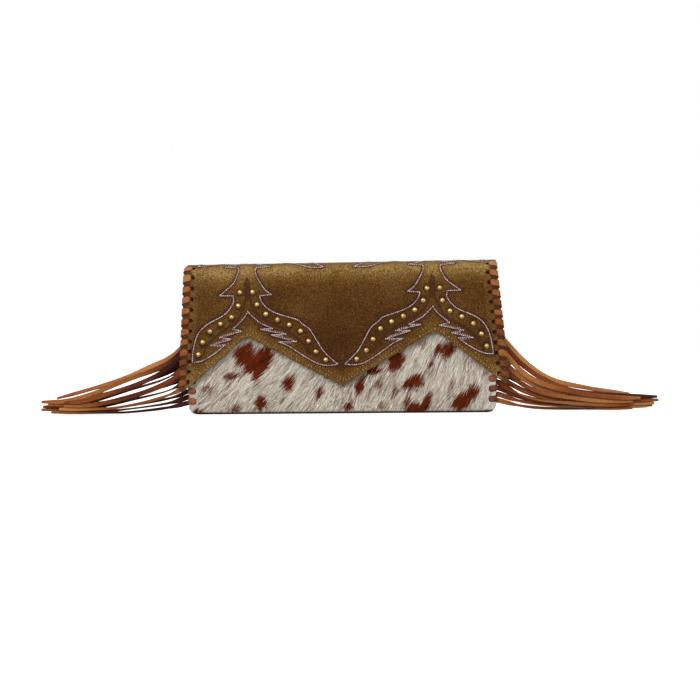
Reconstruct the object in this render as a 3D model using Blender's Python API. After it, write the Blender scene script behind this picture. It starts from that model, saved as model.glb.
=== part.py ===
# A western clutch wallet: a hair-on hide front, a W-cut leather flap folded over the top, studs,
# whip-stitched edges, cut fringe, two note compartments and a zipped coin pocket.
# X runs along the width, -Y is the front, +Z is up. It stands on its base with the origin under its middle.
import math

import bmesh
import bpy
from mathutils import Vector
from mathutils.geometry import delaunay_2d_cdt

for old in list(bpy.data.objects):
    bpy.data.objects.remove(old, do_unlink=True)

# Driving dimensions, in millimetres
MM = 0.001
BODY_WIDTH = 236.0
BODY_DEPTH = 24.0
HEIGHT = 116.0
CORNER_RADIUS = 7.0
CLEARANCE = 0.3

BACK_LEATHER = 1.8
HIDE = 1.6
LINING = 0.8
GUSSET_LEATHER = 0.9
BASE_LEATHER = 1.8
FRINGE_LEATHER = 1.1

FOLD_RISE = 6.5
SPINE_LEATHER = 1.6
SPINE_END_GAP = 0.05
FLAP_LEATHER = 1.6
FLAP_LINING = 0.9
FLAP_GAP = 3.2
FLAP_TOP_WIDTH = 238.0
FLAP_LOW_WIDTH = 252.0
FLAP_LEAN = 1.0
FLAP_CORNER_Z = 17.2
FLAP_POINT_Z = 21.4
FLAP_PEAK_X = 72.3
FLAP_PEAK_Z = 61.4
FLAP_PEAK_RADIUS = 6.0
FLAP_POINT_RADIUS = 2.5
FLAP_CORNER_RADIUS = 2.0
FLAP_SETTLE = 40.0
FLAP_LINING_HEM = 9.5
FLAP_LINING_LOW_HEM = 3.0
FLAP_LINING_TOP = 4.0

HIDE_TOP_Z = 99.0
LINING_DROP = 1.5
GUSSET_FLANGE = 6.0
GUSSET_DEEP = 10.0
RIDGE_FLAT = 0.9

LACE_THICK = 0.9
LACE_WIDE = 5.2
LACE_NARROW = 1.6
LACE_PITCH = 7.8
LACE_HOLE_IN = 5.5
LACE_FRONT_CLIMB = 0.8
LACE_EDGE_CLIMB = 1.5
LACE_TAIL_CLIMB = 4.8
FLAP_LACE_HOLES = 11
FLAP_LACE_TOP = 4.0
BODY_LACE_HOLES = 12
BODY_LACE_LOW = 9.5

MOTIF_X = 71.0
INNER_STUD_LINE = ((4.5, 15.5), (7.5, 24.6), (13.6, 31.6), (22.6, 36.3), (31.8, 40.5), (40.3, 45.5), (46.4, 53.4),
                   (51.8, 61.7), (59.2, 68.1))
OUTER_STUD_LINE = ((-5.2, 15.5), (-6.8, 25.3), (-12.2, 33.6), (-21.7, 38.7), (-29.9, 44.2), (-35.3, 52.0),
                   (-39.0, 61.2))
STUD_RADIUS = 2.1
STUD_HEIGHT = 1.5
STUD_SHANK = 0.6
STUD_SHOULDER = 0.72
INNER_STUDS = 9
OUTER_STUDS = 7

COIN_LEATHER = 0.8
COIN_HALF_GAP = 1.1
COIN_TOP_Z = 86.0
CHAIN_SETBACK = 1.5
CHAIN_HEIGHT = 4.0
CHAIN_THICK = 3.0
TAPE_DEPTH = 5.0
TAPE_THICK = 1.6
ZIP_END = 8.0
SLIDER_LENGTH = 9.0
SLIDER_WALL = 1.2
SKIRT_GAP = 0.2
LUG_LENGTH = 2.8
LUG_THICK = 1.2
LUG_OVER_PIN = 1.2
PIN_OVER_SLIDER = 1.7
PIN_OVERHANG = 0.3
PULL_LENGTH = 12.0
PULL_WIDE = 3.6
PULL_THICK = 2.4
PULL_EAR = 1.0
PULL_HEEL = 1.2
PULL_EYE_GAP = 0.2
PIN_RADIUS = 0.5

CARD_WIDTH = 172.0
CARD_UPPER_Z = 78.0
CARD_LOWER_Z = 60.0
THUMB_NOTCH_HALF = 12.0
THUMB_NOTCH_DEEP = 5.0
THUMB_NOTCH_RADIUS = 4.0

SNAP_RADIUS = 7.0
SNAP_Z = 38.0
SNAP_SOCKET = 1.1

FRINGE_STRANDS = 12
FRINGE_LANES = 3
FRINGE_WIDE = 3.8
FRINGE_LOW_Z = 9.0
FRINGE_PITCH = 4.7
FRINGE_REACH = 240.0
FRINGE_REACH_VARIES = 22.0
FRINGE_START_BEND = 7.0
FRINGE_REST = 1.6
FRINGE_LAYER = 1.15
FRINGE_TIP_LAYER = 0.8
FRINGE_LEFT_FALL = 62.0
FRINGE_LEFT_FALL_ADDED = 62.0
FRINGE_LEFT_DROP = 0.26
FRINGE_LEFT_DROP_LENGTH = 6.0
FRINGE_LEFT_CURVE = 1.35
FRINGE_RIGHT_FALL = 19.0
FRINGE_RIGHT_FALL_ADDED = 12.0
FRINGE_FALL_VARIES = 0.12
FRINGE_WAVE = 2.2
FRINGE_WAVE_LENGTH = 52.0
FRINGE_LANE = 4.4
FRINGE_LANE_OFFSET = 5.0
FRINGE_SPREAD_START = 4.0
FRINGE_SPREAD_LENGTH = 14.0
FRINGE_SWAY = 3.0
FRINGE_SWAY_LENGTH = 100.0
FRINGE_TWIST = 52.0
FRINGE_TWIST_LENGTH = 48.0
FRINGE_TIP_TWIST = 76.0
FRINGE_SETTLE_LENGTH = 112.0
FRINGE_TIP_NARROW = 0.45

# Places that follow from the sizes above
BACK_Y = BODY_DEPTH / 2
FRONT_Y = -BODY_DEPTH / 2
HALF = BODY_WIDTH / 2
AXIS_Z = HEIGHT - FOLD_RISE
BACK_IN = BACK_Y - BACK_LEATHER
HIDE_IN = FRONT_Y + HIDE
REAR_AXIS_Y = BACK_Y - BACK_LEATHER / 2
FLAP_LINING_IN = FRONT_Y - FLAP_GAP
FLAP_IN = FLAP_LINING_IN - FLAP_LINING - CLEARANCE
FRONT_AXIS_Y = FLAP_IN - FLAP_LEATHER / 2
FLANGE_OUT_X = HALF - LACE_HOLE_IN - LACE_THICK / 2 - LACE_NARROW / 2
FLANGE_IN_X = FLANGE_OUT_X - GUSSET_FLANGE
RIDGE_X = FLANGE_IN_X - GUSSET_DEEP
LINING_HALF = FLANGE_IN_X - 2 * LINING - CLEARANCE
FLOOR_Z = BASE_LEATHER + CLEARANCE
FLAP_DROP = AXIS_Z - FLAP_CORNER_Z


def material(name, colour, roughness, metallic=0.0):
    mat = bpy.data.materials.new(name)
    mat.use_nodes = True
    shader = mat.node_tree.nodes["Principled BSDF"]
    shader.inputs["Base Color"].default_value = (*colour, 1.0)
    shader.inputs["Roughness"].default_value = roughness
    shader.inputs["Metallic"].default_value = metallic
    mat.diffuse_color = (*colour, 1.0)
    return mat


OLIVE = material("olive_leather", (0.16, 0.09, 0.03), 0.55)
BROWN = material("brown_leather", (0.12, 0.06, 0.025), 0.6)
COW = material("spotted_hide", (0.62, 0.57, 0.48), 0.75)
SUEDE = material("tan_lining", (0.38, 0.22, 0.11), 0.85)
TAN_LACE = material("tan_lace", (0.42, 0.14, 0.04), 0.5)
RED_LACE = material("red_brown_lace", (0.17, 0.045, 0.02), 0.5)
FRINGE = material("fringe_leather", (0.26, 0.10, 0.03), 0.55)
BRASS = material("brass_stud", (0.70, 0.50, 0.22), 0.3, 1.0)
STEEL = material("snap_plate", (0.55, 0.50, 0.42), 0.35, 1.0)
ZIP = material("zip_tape", (0.08, 0.05, 0.03), 0.8)


def make(name, points, faces, mat, origin=None, smooth=False):
    """A closed mesh from points in millimetres, with its faces turned outwards."""
    at = Vector(origin or (0, 0, 0))
    mesh = bpy.data.meshes.new(name)
    mesh.from_pydata([(Vector(p) - at) * MM for p in points], [], faces)
    bm = bmesh.new()
    bm.from_mesh(mesh)
    bmesh.ops.recalc_face_normals(bm, faces=bm.faces)
    if bm.calc_volume(signed=True) < 0:
        bmesh.ops.reverse_faces(bm, faces=bm.faces)
    bmesh.ops.triangulate(bm, faces=bm.faces)
    bm.to_mesh(mesh)
    bm.free()
    mesh.materials.append(mat)
    if smooth:
        mesh.shade_smooth()
        mesh.set_sharp_from_angle(angle=math.radians(35))
    obj = bpy.data.objects.new(name, mesh)
    obj.location = at * MM
    bpy.context.scene.collection.objects.link(obj)
    return obj


def inside(loop, x, y):
    hit = False
    for i, (x1, y1) in enumerate(loop):
        x0, y0 = loop[i - 1]
        if (y0 > y) != (y1 > y) and x < (x1 - x0) * (y - y0) / (y1 - y0) + x0:
            hit = not hit
    return hit


def sheet(name, outline, holes, place, mat):
    """A cut piece: a flat pattern with holes, laid by place(u, v) -> point, normal, half thickness."""
    pts, edges = [], []
    for loop in [outline, *holes]:
        first = len(pts)
        pts += [Vector((u, v)) for u, v in loop]
        edges += [(first + i, first + (i + 1) % len(loop)) for i in range(len(loop))]
    flat, _, tris, _, _, _ = delaunay_2d_cdt(pts, edges, [], 0, 1e-6)
    keep = []
    for tri in tris:
        u = sum(flat[i].x for i in tri) / 3
        v = sum(flat[i].y for i in tri) / 3
        if inside(outline, u, v) and not any(inside(hole, u, v) for hole in holes):
            keep.append(tuple(tri))
    used = sorted({i for tri in keep for i in tri})
    index = {old: new for new, old in enumerate(used)}
    front, back = [], []
    for i in used:
        point, normal, half = place(flat[i].x, flat[i].y)
        front.append(point + normal * half)
        back.append(point - normal * half)
    n = len(used)
    faces, rim = [], {}
    for tri in keep:
        a, b, c = (index[i] for i in tri)
        faces += [(a, b, c), (c + n, b + n, a + n)]
        for edge in ((a, b), (b, c), (c, a)):
            if edge[::-1] in rim:
                del rim[edge[::-1]]
            else:
                rim[edge] = True
    for a, b in rim:
        faces += [(b, a, a + n), (b, a + n, b + n)]
    return make(name, front + back, faces, mat)


def rounded(corners, steps=4):
    """A closed outline with each (x, y, radius) corner turned into an arc."""
    out = []
    for i, (x, y, r) in enumerate(corners):
        here = Vector((x, y))
        before = (Vector(corners[i - 1][:2]) - here).normalized()
        after = (Vector(corners[(i + 1) % len(corners)][:2]) - here).normalized()
        if r <= 0:
            out.append((x, y))
            continue
        half = math.acos(max(-1, min(1, before.dot(after)))) / 2
        reach = r / math.tan(half)
        middle = here + (before + after).normalized() * (r / math.sin(half))
        a, b = here + before * reach - middle, here + after * reach - middle
        turn = math.atan2(a.x * b.y - a.y * b.x, a.dot(b))
        for s in range(steps + 1):
            t = turn * s / steps
            spun = Vector((a.x * math.cos(t) - a.y * math.sin(t), a.x * math.sin(t) + a.y * math.cos(t)))
            out.append(tuple(middle + spun))
    return out


def slot(x, y, wide, tall):
    return [(x - wide / 2, y - tall / 2), (x + wide / 2, y - tall / 2),
            (x + wide / 2, y + tall / 2), (x - wide / 2, y + tall / 2)]


def upright(y_out, thick, towards):
    """A flat sheet whose pattern u is X and v is Z, with its outer face at y_out facing -1 or +1 in Y."""
    def place(u, v):
        return Vector((u, y_out - towards * thick / 2, v)), Vector((0, towards, 0)), thick / 2
    return place


def plain_box(name, low, high, mat, origin=None):
    points = [(x, y, z) for z in (low[2], high[2]) for y in (low[1], high[1]) for x in (low[0], high[0])]
    faces = [(0, 1, 3, 2), (4, 6, 7, 5), (0, 4, 5, 1), (2, 3, 7, 6), (0, 2, 6, 4), (1, 5, 7, 3)]
    return make(name, points, faces, mat, origin)


# Where the whip-stitch holes fall on the body's side edges and on the flap's
body_holes = [BODY_LACE_LOW + LACE_PITCH * i for i in range(BODY_LACE_HOLES)]
flap_holes = [FLAP_LACE_TOP + LACE_PITCH * i for i in range(FLAP_LACE_HOLES)]
HOLE_WIDE = LACE_THICK + 2 * CLEARANCE
HOLE_TALL = LACE_NARROW + 2 * CLEARANCE


def lace(name, holes, leather, place, mat):
    """A flat thong whipped round an edge: place(a, b, c) goes along the edge, in from it, and outwards."""
    near = leather / 2 + CLEARANCE
    far = near + LACE_THICK
    deep_in, deep_out = LACE_HOLE_IN - LACE_THICK / 2, LACE_HOLE_IN + LACE_THICK / 2
    edge_in, edge_out = -CLEARANCE, -CLEARANCE - LACE_THICK
    rings = []

    def ring(a, inner, outer, wide):
        rings.append([place(a - wide / 2, *inner), place(a + wide / 2, *inner),
                      place(a + wide / 2, *outer), place(a - wide / 2, *outer)])

    for a in holes:
        ring(a, (deep_in, -near), (deep_out, -far), LACE_NARROW)
        ring(a, (deep_in, near), (deep_out, far), LACE_NARROW)
        ring(a + LACE_FRONT_CLIMB, (edge_in, near), (edge_out, far), LACE_WIDE)
        ring(a + LACE_FRONT_CLIMB + LACE_EDGE_CLIMB, (edge_in, -near), (edge_out, -far), LACE_WIDE)
    ring(holes[-1] + LACE_TAIL_CLIMB, (deep_in, -near), (deep_out, -far), LACE_NARROW)
    points = [p for r in rings for p in r]
    faces = [(3, 2, 1, 0), tuple(len(points) - 4 + i for i in range(4))]
    for r in range(len(rings) - 1):
        for i in range(4):
            j = (i + 1) % 4
            faces.append((4 * r + i, 4 * r + j, 4 * r + 4 + j, 4 * r + 4 + i))
    return make(name, points, faces, mat)


def body_outline(top, half=HALF, low=0.0, radius=CORNER_RADIUS):
    return rounded([(-half, low, radius), (half, low, radius), (half, top, 0), (-half, top, 0)])


# Back panel: its top edge is rounded about the rear fold, where the spine hinges
side_slots = [slot(s * (HALF - LACE_HOLE_IN), z, HOLE_WIDE, HOLE_TALL) for s in (-1, 1) for z in body_holes]
ROUND_STEPS = (0, 30, 60, 82)


def tapered(thick, v):
    """Half the thickness at height v of a panel whose top is a half round about the fold's axis."""
    above = v - AXIS_Z
    return math.sqrt(max((thick / 2) ** 2 - above ** 2, 0)) if above > 0 else thick / 2


def back_place(u, v):
    return Vector((u, REAR_AXIS_Y, v)), Vector((0, 1, 0)), tapered(BACK_LEATHER, v)


back_rows = [AXIS_Z + BACK_LEATHER / 2 * math.sin(math.radians(a)) for a in ROUND_STEPS]
back_cut = body_outline(AXIS_Z)[:-2]
back_cut += [(HALF, v) for v in back_rows] + [(-HALF, v) for v in reversed(back_rows)]
sheet("back_panel", back_cut, side_slots, back_place, OLIVE)

# Back lining with two tiers of card pockets sewn on it
lining_top = HIDE_TOP_Z - LINING_DROP
lining_out = BACK_IN - CLEARANCE
plain_box("back_lining", (-LINING_HALF, lining_out - LINING, FLOOR_Z),
          (LINING_HALF, lining_out, lining_top), SUEDE)
card_out = lining_out - LINING - CLEARANCE
for tier, card_top in (("upper", CARD_UPPER_Z), ("lower", CARD_LOWER_Z)):
    notch_low, notch_in = card_top - THUMB_NOTCH_DEEP, THUMB_NOTCH_HALF - THUMB_NOTCH_RADIUS
    notch = rounded([(-CARD_WIDTH / 2, FLOOR_Z, 0), (CARD_WIDTH / 2, FLOOR_Z, 0), (CARD_WIDTH / 2, card_top, 0),
                     (THUMB_NOTCH_HALF, card_top, 0), (notch_in, notch_low, THUMB_NOTCH_RADIUS),
                     (-notch_in, notch_low, THUMB_NOTCH_RADIUS), (-THUMB_NOTCH_HALF, card_top, 0),
                     (-CARD_WIDTH / 2, card_top, 0)], 2)
    sheet("card_pocket_" + tier, notch, [], upright(card_out, LINING, 1), SUEDE)
    card_out -= LINING + CLEARANCE

# Base between the hide and the back panel
plain_box("base_panel", (-FLANGE_OUT_X, HIDE_IN + CLEARANCE, 0),
          (FLANGE_OUT_X, BACK_IN - CLEARANCE, BASE_LEATHER), BROWN)

# Front: the hide and its lining
sheet("front_hide", body_outline(HIDE_TOP_Z), side_slots, upright(FRONT_Y, HIDE, -1), COW)
front_lining_out = HIDE_IN + CLEARANCE
plain_box("front_lining", (-LINING_HALF, front_lining_out, FLOOR_Z),
          (LINING_HALF, front_lining_out + LINING, lining_top), SUEDE)

# Gussets: a flange against each wall and a fold that points into the wallet
flange_y = (HIDE_IN + CLEARANCE + GUSSET_LEATHER / 2, BACK_IN - CLEARANCE - GUSSET_LEATHER / 2)
for side, name in ((-1, "left"), (1, "right")):
    middle = (flange_y[0] + flange_y[1]) / 2
    run = [(FLANGE_OUT_X, flange_y[0]), (FLANGE_IN_X, flange_y[0]), (RIDGE_X + RIDGE_FLAT, middle - RIDGE_FLAT),
           (RIDGE_X + RIDGE_FLAT, middle + RIDGE_FLAT), (FLANGE_IN_X, flange_y[1]), (FLANGE_OUT_X, flange_y[1])]
    section = []
    for way in (1, -1):
        line = []
        for i, here in enumerate(run):
            before = Vector(run[max(i - 1, 0)])
            after = Vector(run[min(i + 1, len(run) - 1)])
            here = Vector(here)
            d1 = (here - before).normalized() if i else (after - here).normalized()
            d2 = (after - here).normalized() if i < len(run) - 1 else d1
            n1, n2 = Vector((-d1.y, d1.x)), Vector((-d2.y, d2.x))
            mitre = (n1 + n2).normalized()
            line.append(here + mitre * (way * GUSSET_LEATHER / 2 / mitre.dot(n1)))
        section += line if way > 0 else line[::-1]
    points = [(side * p.x, p.y, z) for z in (FLOOR_Z, lining_top) for p in section]
    n = len(section)
    faces = [(i, i + 1, 2 * len(run) - 2 - i, 2 * len(run) - 1 - i) for i in range(len(run) - 1)]
    faces += [tuple(k + n for k in reversed(face)) for face in faces]
    faces += [(i, (i + 1) % n, (i + 1) % n + n, i + n) for i in range(n)]
    make("gusset_" + name, points, faces, BROWN)

# Whip-stitched lacing on the front and back edges of both sides
for side, name in ((-1, "left"), (1, "right")):
    def front_edge(a, b, c, side=side):
        return Vector((side * (HALF - b), FRONT_Y + HIDE / 2 - c, a))

    def back_edge(a, b, c, side=side):
        return Vector((side * (HALF - b), REAR_AXIS_Y + c, a))

    lace("front_lace_" + name, body_holes, HIDE, front_edge, RED_LACE)
    lace("back_lace_" + name, body_holes, BACK_LEATHER, back_edge, RED_LACE)

# Fringe: one comb-cut strip a side, its header sewn to the gusset's front flange, its strands turned
# flat as they fall and laid in lanes that fan outwards
fringe_y = HIDE_IN + CLEARANCE + GUSSET_LEATHER + CLEARANCE + FRINGE_LEATHER / 2
STRAND_STATIONS = 20


def eased(t):
    t = min(max(t, 0.0), 1.0)
    return t * t * (3 - 2 * t)


def strand_centre(side, i, t):
    """The way of strand i from the header (t = 0) to its tip (t = 1), and its turn towards flat."""
    share = i / (FRINGE_STRANDS - 1)
    lane = i % FRINGE_LANES - (FRINGE_LANES - 1) / 2
    start_z = FRINGE_LOW_Z + FRINGE_PITCH * i
    reach = FRINGE_REACH - FRINGE_REACH_VARIES * (0.5 + 0.5 * math.sin(2.3 * i + 0.5 + 0.5 * side))
    x = FLANGE_OUT_X + t * (reach - FLANGE_OUT_X)
    away = math.hypot(max(x - HALF + 1.0, 0.0), FRINGE_START_BEND) - FRINGE_START_BEND
    varied = 1 + FRINGE_FALL_VARIES * lane
    if side > 0:
        fallen = math.exp(-away / (varied * (FRINGE_RIGHT_FALL + FRINGE_RIGHT_FALL_ADDED * share)))
    else:
        run = away / (varied * (FRINGE_LEFT_FALL + FRINGE_LEFT_FALL_ADDED * share))
        fallen = (1 - FRINGE_LEFT_DROP) * max(1 - run, 0.0) ** FRINGE_LEFT_CURVE
        fallen += FRINGE_LEFT_DROP * math.exp(-away / FRINGE_LEFT_DROP_LENGTH)
    settled = eased(away / FRINGE_SETTLE_LENGTH)
    rest_z = FRINGE_REST + (FRINGE_LAYER + (FRINGE_TIP_LAYER - FRINGE_LAYER) * settled) * i
    wave = FRINGE_WAVE * share * (1 - settled) * eased(away / FRINGE_WAVE_LENGTH) * math.sin(
        2 * math.pi * away / FRINGE_WAVE_LENGTH / 2 + 2.1 * lane + side)
    z = rest_z + (start_z - rest_z) * fallen + wave
    far = min(max((x - HALF) / FRINGE_SWAY_LENGTH, 0.0), 1.0)
    sway = FRINGE_SWAY * far * math.sin(far * 3.4) * side
    out = eased((x - HALF + FRINGE_SPREAD_START) / FRINGE_SPREAD_LENGTH)
    y = fringe_y + (FRINGE_LANE_OFFSET + lane * FRINGE_LANE + sway) * out
    twist = FRINGE_TWIST * eased(away / FRINGE_TWIST_LENGTH) + (FRINGE_TIP_TWIST - FRINGE_TWIST) * settled
    return Vector((side * x, y, z)), math.radians(twist)


def fringe(name, side):
    ts = [(k / STRAND_STATIONS) ** 1.35 for k in range(STRAND_STATIONS + 1)]
    top = FRINGE_LOW_Z + FRINGE_PITCH * (FRINGE_STRANDS - 1) + FRINGE_PITCH / 2
    low = FRINGE_LOW_Z - FRINGE_PITCH / 2
    outline = [(-GUSSET_FLANGE + 1, low), (0, low)]
    for i in range(FRINGE_STRANDS):
        z = FRINGE_LOW_Z + FRINGE_PITCH * i
        half = FRINGE_WIDE / 2
        outline.append((0, z - half))
        outline += [(t, z - half) for t in ts[1:]]
        outline += [(t, z + half) for t in reversed(ts[1:])]
        outline.append((0, z + half))
    outline += [(0, top), (-GUSSET_FLANGE + 1, top)]

    def place(u, v):
        if u <= 0:
            return Vector((side * (FLANGE_OUT_X + u), fringe_y, v)), Vector((0, -1, 0)), FRINGE_LEATHER / 2
        i = min(max(round((v - FRINGE_LOW_Z) / FRINGE_PITCH), 0), FRINGE_STRANDS - 1)
        off = v - (FRINGE_LOW_Z + FRINGE_PITCH * i)
        here, twist = strand_centre(side, i, u)
        ahead = strand_centre(side, i, u + 0.004)[0] - strand_centre(side, i, u - 0.004)[0]
        along = ahead.normalized()
        across = Vector((0, math.sin(twist), math.cos(twist)))
        across = (across - along * across.dot(along)).normalized()
        normal = across.cross(along) * side
        narrow = 1.0 - FRINGE_TIP_NARROW * max(u - 0.9, 0) / 0.1
        return here + across * off * narrow, -normal, FRINGE_LEATHER / 2

    sheet(name, outline, [], place, FRINGE)


fringe("fringe_left", -1)
fringe("fringe_right", 1)

# Coin pocket: two leaves whose side edges meet the gusset folds, closed by a zip along the top
coin_half = RIDGE_X - GUSSET_LEATHER / 2 - CLEARANCE
for y0, name in ((-COIN_HALF_GAP - COIN_LEATHER, "front"), (COIN_HALF_GAP, "rear")):
    plain_box("coin_pocket_" + name, (-coin_half, y0, FLOOR_Z),
              (coin_half, y0 + COIN_LEATHER, COIN_TOP_Z), SUEDE)

chain_half = coin_half - CHAIN_SETBACK
tape_low, chain_low = COIN_TOP_Z - TAPE_DEPTH, COIN_TOP_Z + CLEARANCE
chain_high = chain_low + CHAIN_HEIGHT
chain_section = [(-TAPE_THICK / 2, tape_low), (TAPE_THICK / 2, tape_low), (TAPE_THICK / 2, chain_low),
                 (CHAIN_THICK / 2, chain_low), (CHAIN_THICK / 2, chain_high), (-CHAIN_THICK / 2, chain_high),
                 (-CHAIN_THICK / 2, chain_low), (-TAPE_THICK / 2, chain_low)]


def bar(name, section, x0, x1, mat, caps, origin=None):
    """A profile in Y and Z run along X, with its caps given as faces of the profile."""
    n = len(section)
    points = [(x, y, z) for x in (x0, x1) for y, z in section]
    faces = [tuple(reversed(c)) for c in caps] + [tuple(k + n for k in c) for c in caps]
    faces += [(i, (i + 1) % n, (i + 1) % n + n, i + n) for i in range(n)]
    return make(name, points, faces, mat, origin)


bar("zip_chain", chain_section, -chain_half, chain_half, ZIP, [(0, 1, 2, 7), (2, 3, 4, 5, 6, 7)])

# Zip slider: a channel over the chain with a lug and a cross pin, parked at the left end when closed
slide_x = -chain_half + ZIP_END + SLIDER_LENGTH / 2
in_y = CHAIN_THICK / 2 + CLEARANCE
out_y = in_y + SLIDER_WALL
roof = chain_high + CLEARANCE
slider_top = roof + SLIDER_WALL
pin_z = slider_top + PIN_OVER_SLIDER
lug_top = pin_z + LUG_OVER_PIN
skirt = chain_low + SKIRT_GAP
slider_section = [(-out_y, skirt), (-in_y, skirt), (-in_y, roof), (in_y, roof), (in_y, skirt), (out_y, skirt),
                  (out_y, slider_top), (-out_y, slider_top)]
slider = bar("zip_slider", slider_section, slide_x - SLIDER_LENGTH / 2, slide_x + SLIDER_LENGTH / 2, BRASS,
             [(0, 1, 2, 7), (2, 3, 6, 7), (3, 4, 5, 6)], (slide_x, 0, chain_high))


def join(target, other):
    """Boolean union, applied, of a second shape into the first."""
    cut = target.modifiers.new("join", "BOOLEAN")
    cut.operation = "UNION"
    cut.object = other
    cut.solver = "EXACT"
    bpy.context.view_layer.update()
    whole = bpy.data.meshes.new_from_object(target.evaluated_get(bpy.context.evaluated_depsgraph_get()))
    target.modifiers.clear()
    target.data = whole
    bpy.data.objects.remove(other, do_unlink=True)


def rod(name, centre, radius, length, mat, sides=8):
    """A short cylinder about Y."""
    points = []
    for end in (-1, 1):
        for k in range(sides):
            a = 2 * math.pi * k / sides
            off = Vector((radius * math.cos(a), end * length / 2, radius * math.sin(a)))
            points.append(Vector(centre) + off)
    faces = [tuple(range(sides)), tuple(range(2 * sides - 1, sides - 1, -1))]
    faces += [(k, (k + 1) % sides, (k + 1) % sides + sides, k + sides) for k in range(sides)]
    return make(name, points, faces, mat)


ear_in = LUG_THICK / 2 + CLEARANCE
pin_half = ear_in + PULL_EAR + PIN_OVERHANG
join(slider, plain_box("lug", (slide_x - LUG_LENGTH / 2, -LUG_THICK / 2, slider_top - SLIDER_WALL / 3),
                       (slide_x + LUG_LENGTH / 2, LUG_THICK / 2, lug_top), BRASS))
join(slider, rod("pin", (slide_x, 0, pin_z), PIN_RADIUS, 2 * pin_half, BRASS))

# Zip pull: a fork on the pin and a tab, lying along the chain at rest
eye = PIN_RADIUS + PULL_EYE_GAP
fork_in = math.hypot(LUG_LENGTH / 2, max(LUG_OVER_PIN, PIN_OVER_SLIDER)) + CLEARANCE
fork_half = ear_in + PULL_EAR
pull_out = [(-PULL_HEEL, -fork_half), (fork_in + PULL_HEEL, -fork_half), (PULL_LENGTH, -PULL_WIDE / 2),
            (PULL_LENGTH, PULL_WIDE / 2), (fork_in + PULL_HEEL, fork_half), (-PULL_HEEL, fork_half),
            (-PULL_HEEL, ear_in), (fork_in, ear_in), (fork_in, -ear_in), (-PULL_HEEL, -ear_in)]


def pull_place(u, v):
    return Vector((slide_x + u, v, pin_z)), Vector((0, 0, 1)), PULL_THICK / 2


pull = sheet("zip_pull", pull_out, [], pull_place, BRASS)
bore = rod("eye", (slide_x, 0, pin_z), eye, 4 * fork_half, BRASS)
cut = pull.modifiers.new("eye", "BOOLEAN")
cut.operation = "DIFFERENCE"
cut.object = bore
cut.solver = "EXACT"
bore.hide_render = True
bore.display_type = "WIRE"

# Spine over the top, an arch between the rear fold and the front fold
chord = REAR_AXIS_Y - FRONT_AXIS_Y
arch_rise = FOLD_RISE - SPINE_LEATHER / 2
arch_radius = (chord ** 2 / 4 + arch_rise ** 2) / (2 * arch_rise)
arch_half = math.asin(chord / 2 / arch_radius)
arch_y = (REAR_AXIS_Y + FRONT_AXIS_Y) / 2
arch_z = HEIGHT - SPINE_LEATHER / 2 - arch_radius


def end_angle(round_radius):
    return arch_half - (round_radius + CLEARANCE + SPINE_END_GAP) / arch_radius


spine_low, spine_high = -end_angle(BACK_LEATHER / 2), end_angle(FLAP_LEATHER / 2)
SPINE_STEPS = 10


def spine_place(u, v):
    out = Vector((0, -math.sin(v), math.cos(v)))
    return Vector((u, arch_y, arch_z)) + out * arch_radius, out, SPINE_LEATHER / 2


spine_rows = [spine_low + (spine_high - spine_low) * k / SPINE_STEPS for k in range(SPINE_STEPS + 1)]
top_half = FLAP_TOP_WIDTH / 2
sheet("spine_leather", [(top_half, v) for v in spine_rows] + [(-top_half, v) for v in reversed(spine_rows)], [],
      spine_place, OLIVE)


# Flap: pattern u runs across and v down from the front fold; the lean turns it a little as it hangs
def on_flap(u, v, n=0.0):
    lean = math.tan(math.radians(FLAP_LEAN))
    settle = min(max(v / FLAP_SETTLE, 0), 1)
    return Vector((u + max(v, 0) * lean, FRONT_AXIS_Y - n, AXIS_Z - v + u * lean * settle))


def flap_edge(v):
    return top_half + (FLAP_LOW_WIDTH - FLAP_TOP_WIDTH) / 2 * min(max(v / FLAP_DROP, 0), 1)


def flap_cut(top_v, hem_side, hem_low, rows):
    low_half = FLAP_LOW_WIDTH / 2
    corner_v, point_v, peak_v = AXIS_Z - FLAP_CORNER_Z, AXIS_Z - FLAP_POINT_Z, AXIS_Z - FLAP_PEAK_Z
    slope = (corner_v - peak_v) / (low_half - FLAP_PEAK_X)
    corner = (low_half - hem_side, corner_v - hem_low - slope * hem_side, FLAP_CORNER_RADIUS)
    peak = (FLAP_PEAK_X, peak_v - hem_low, FLAP_PEAK_RADIUS)
    lower = rounded([(-corner[0], *corner[1:]), (-peak[0], *peak[1:]),
                     (0, point_v - hem_low, FLAP_POINT_RADIUS), peak, corner,
                     (flap_edge(top_v) - hem_side, top_v, 0),
                     (-flap_edge(top_v) + hem_side, top_v, 0)], 3)[:-2]
    right = [(flap_edge(v) - hem_side, v) for v in rows]
    return lower + right + [(-u, v) for u, v in reversed(right)]


def flap_place(middle, thick, round_top=False):
    def place(u, v):
        half = tapered(thick, AXIS_Z - v) if round_top else thick / 2
        return on_flap(u, v, middle), Vector((0, -1, 0)), half
    return place


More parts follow.
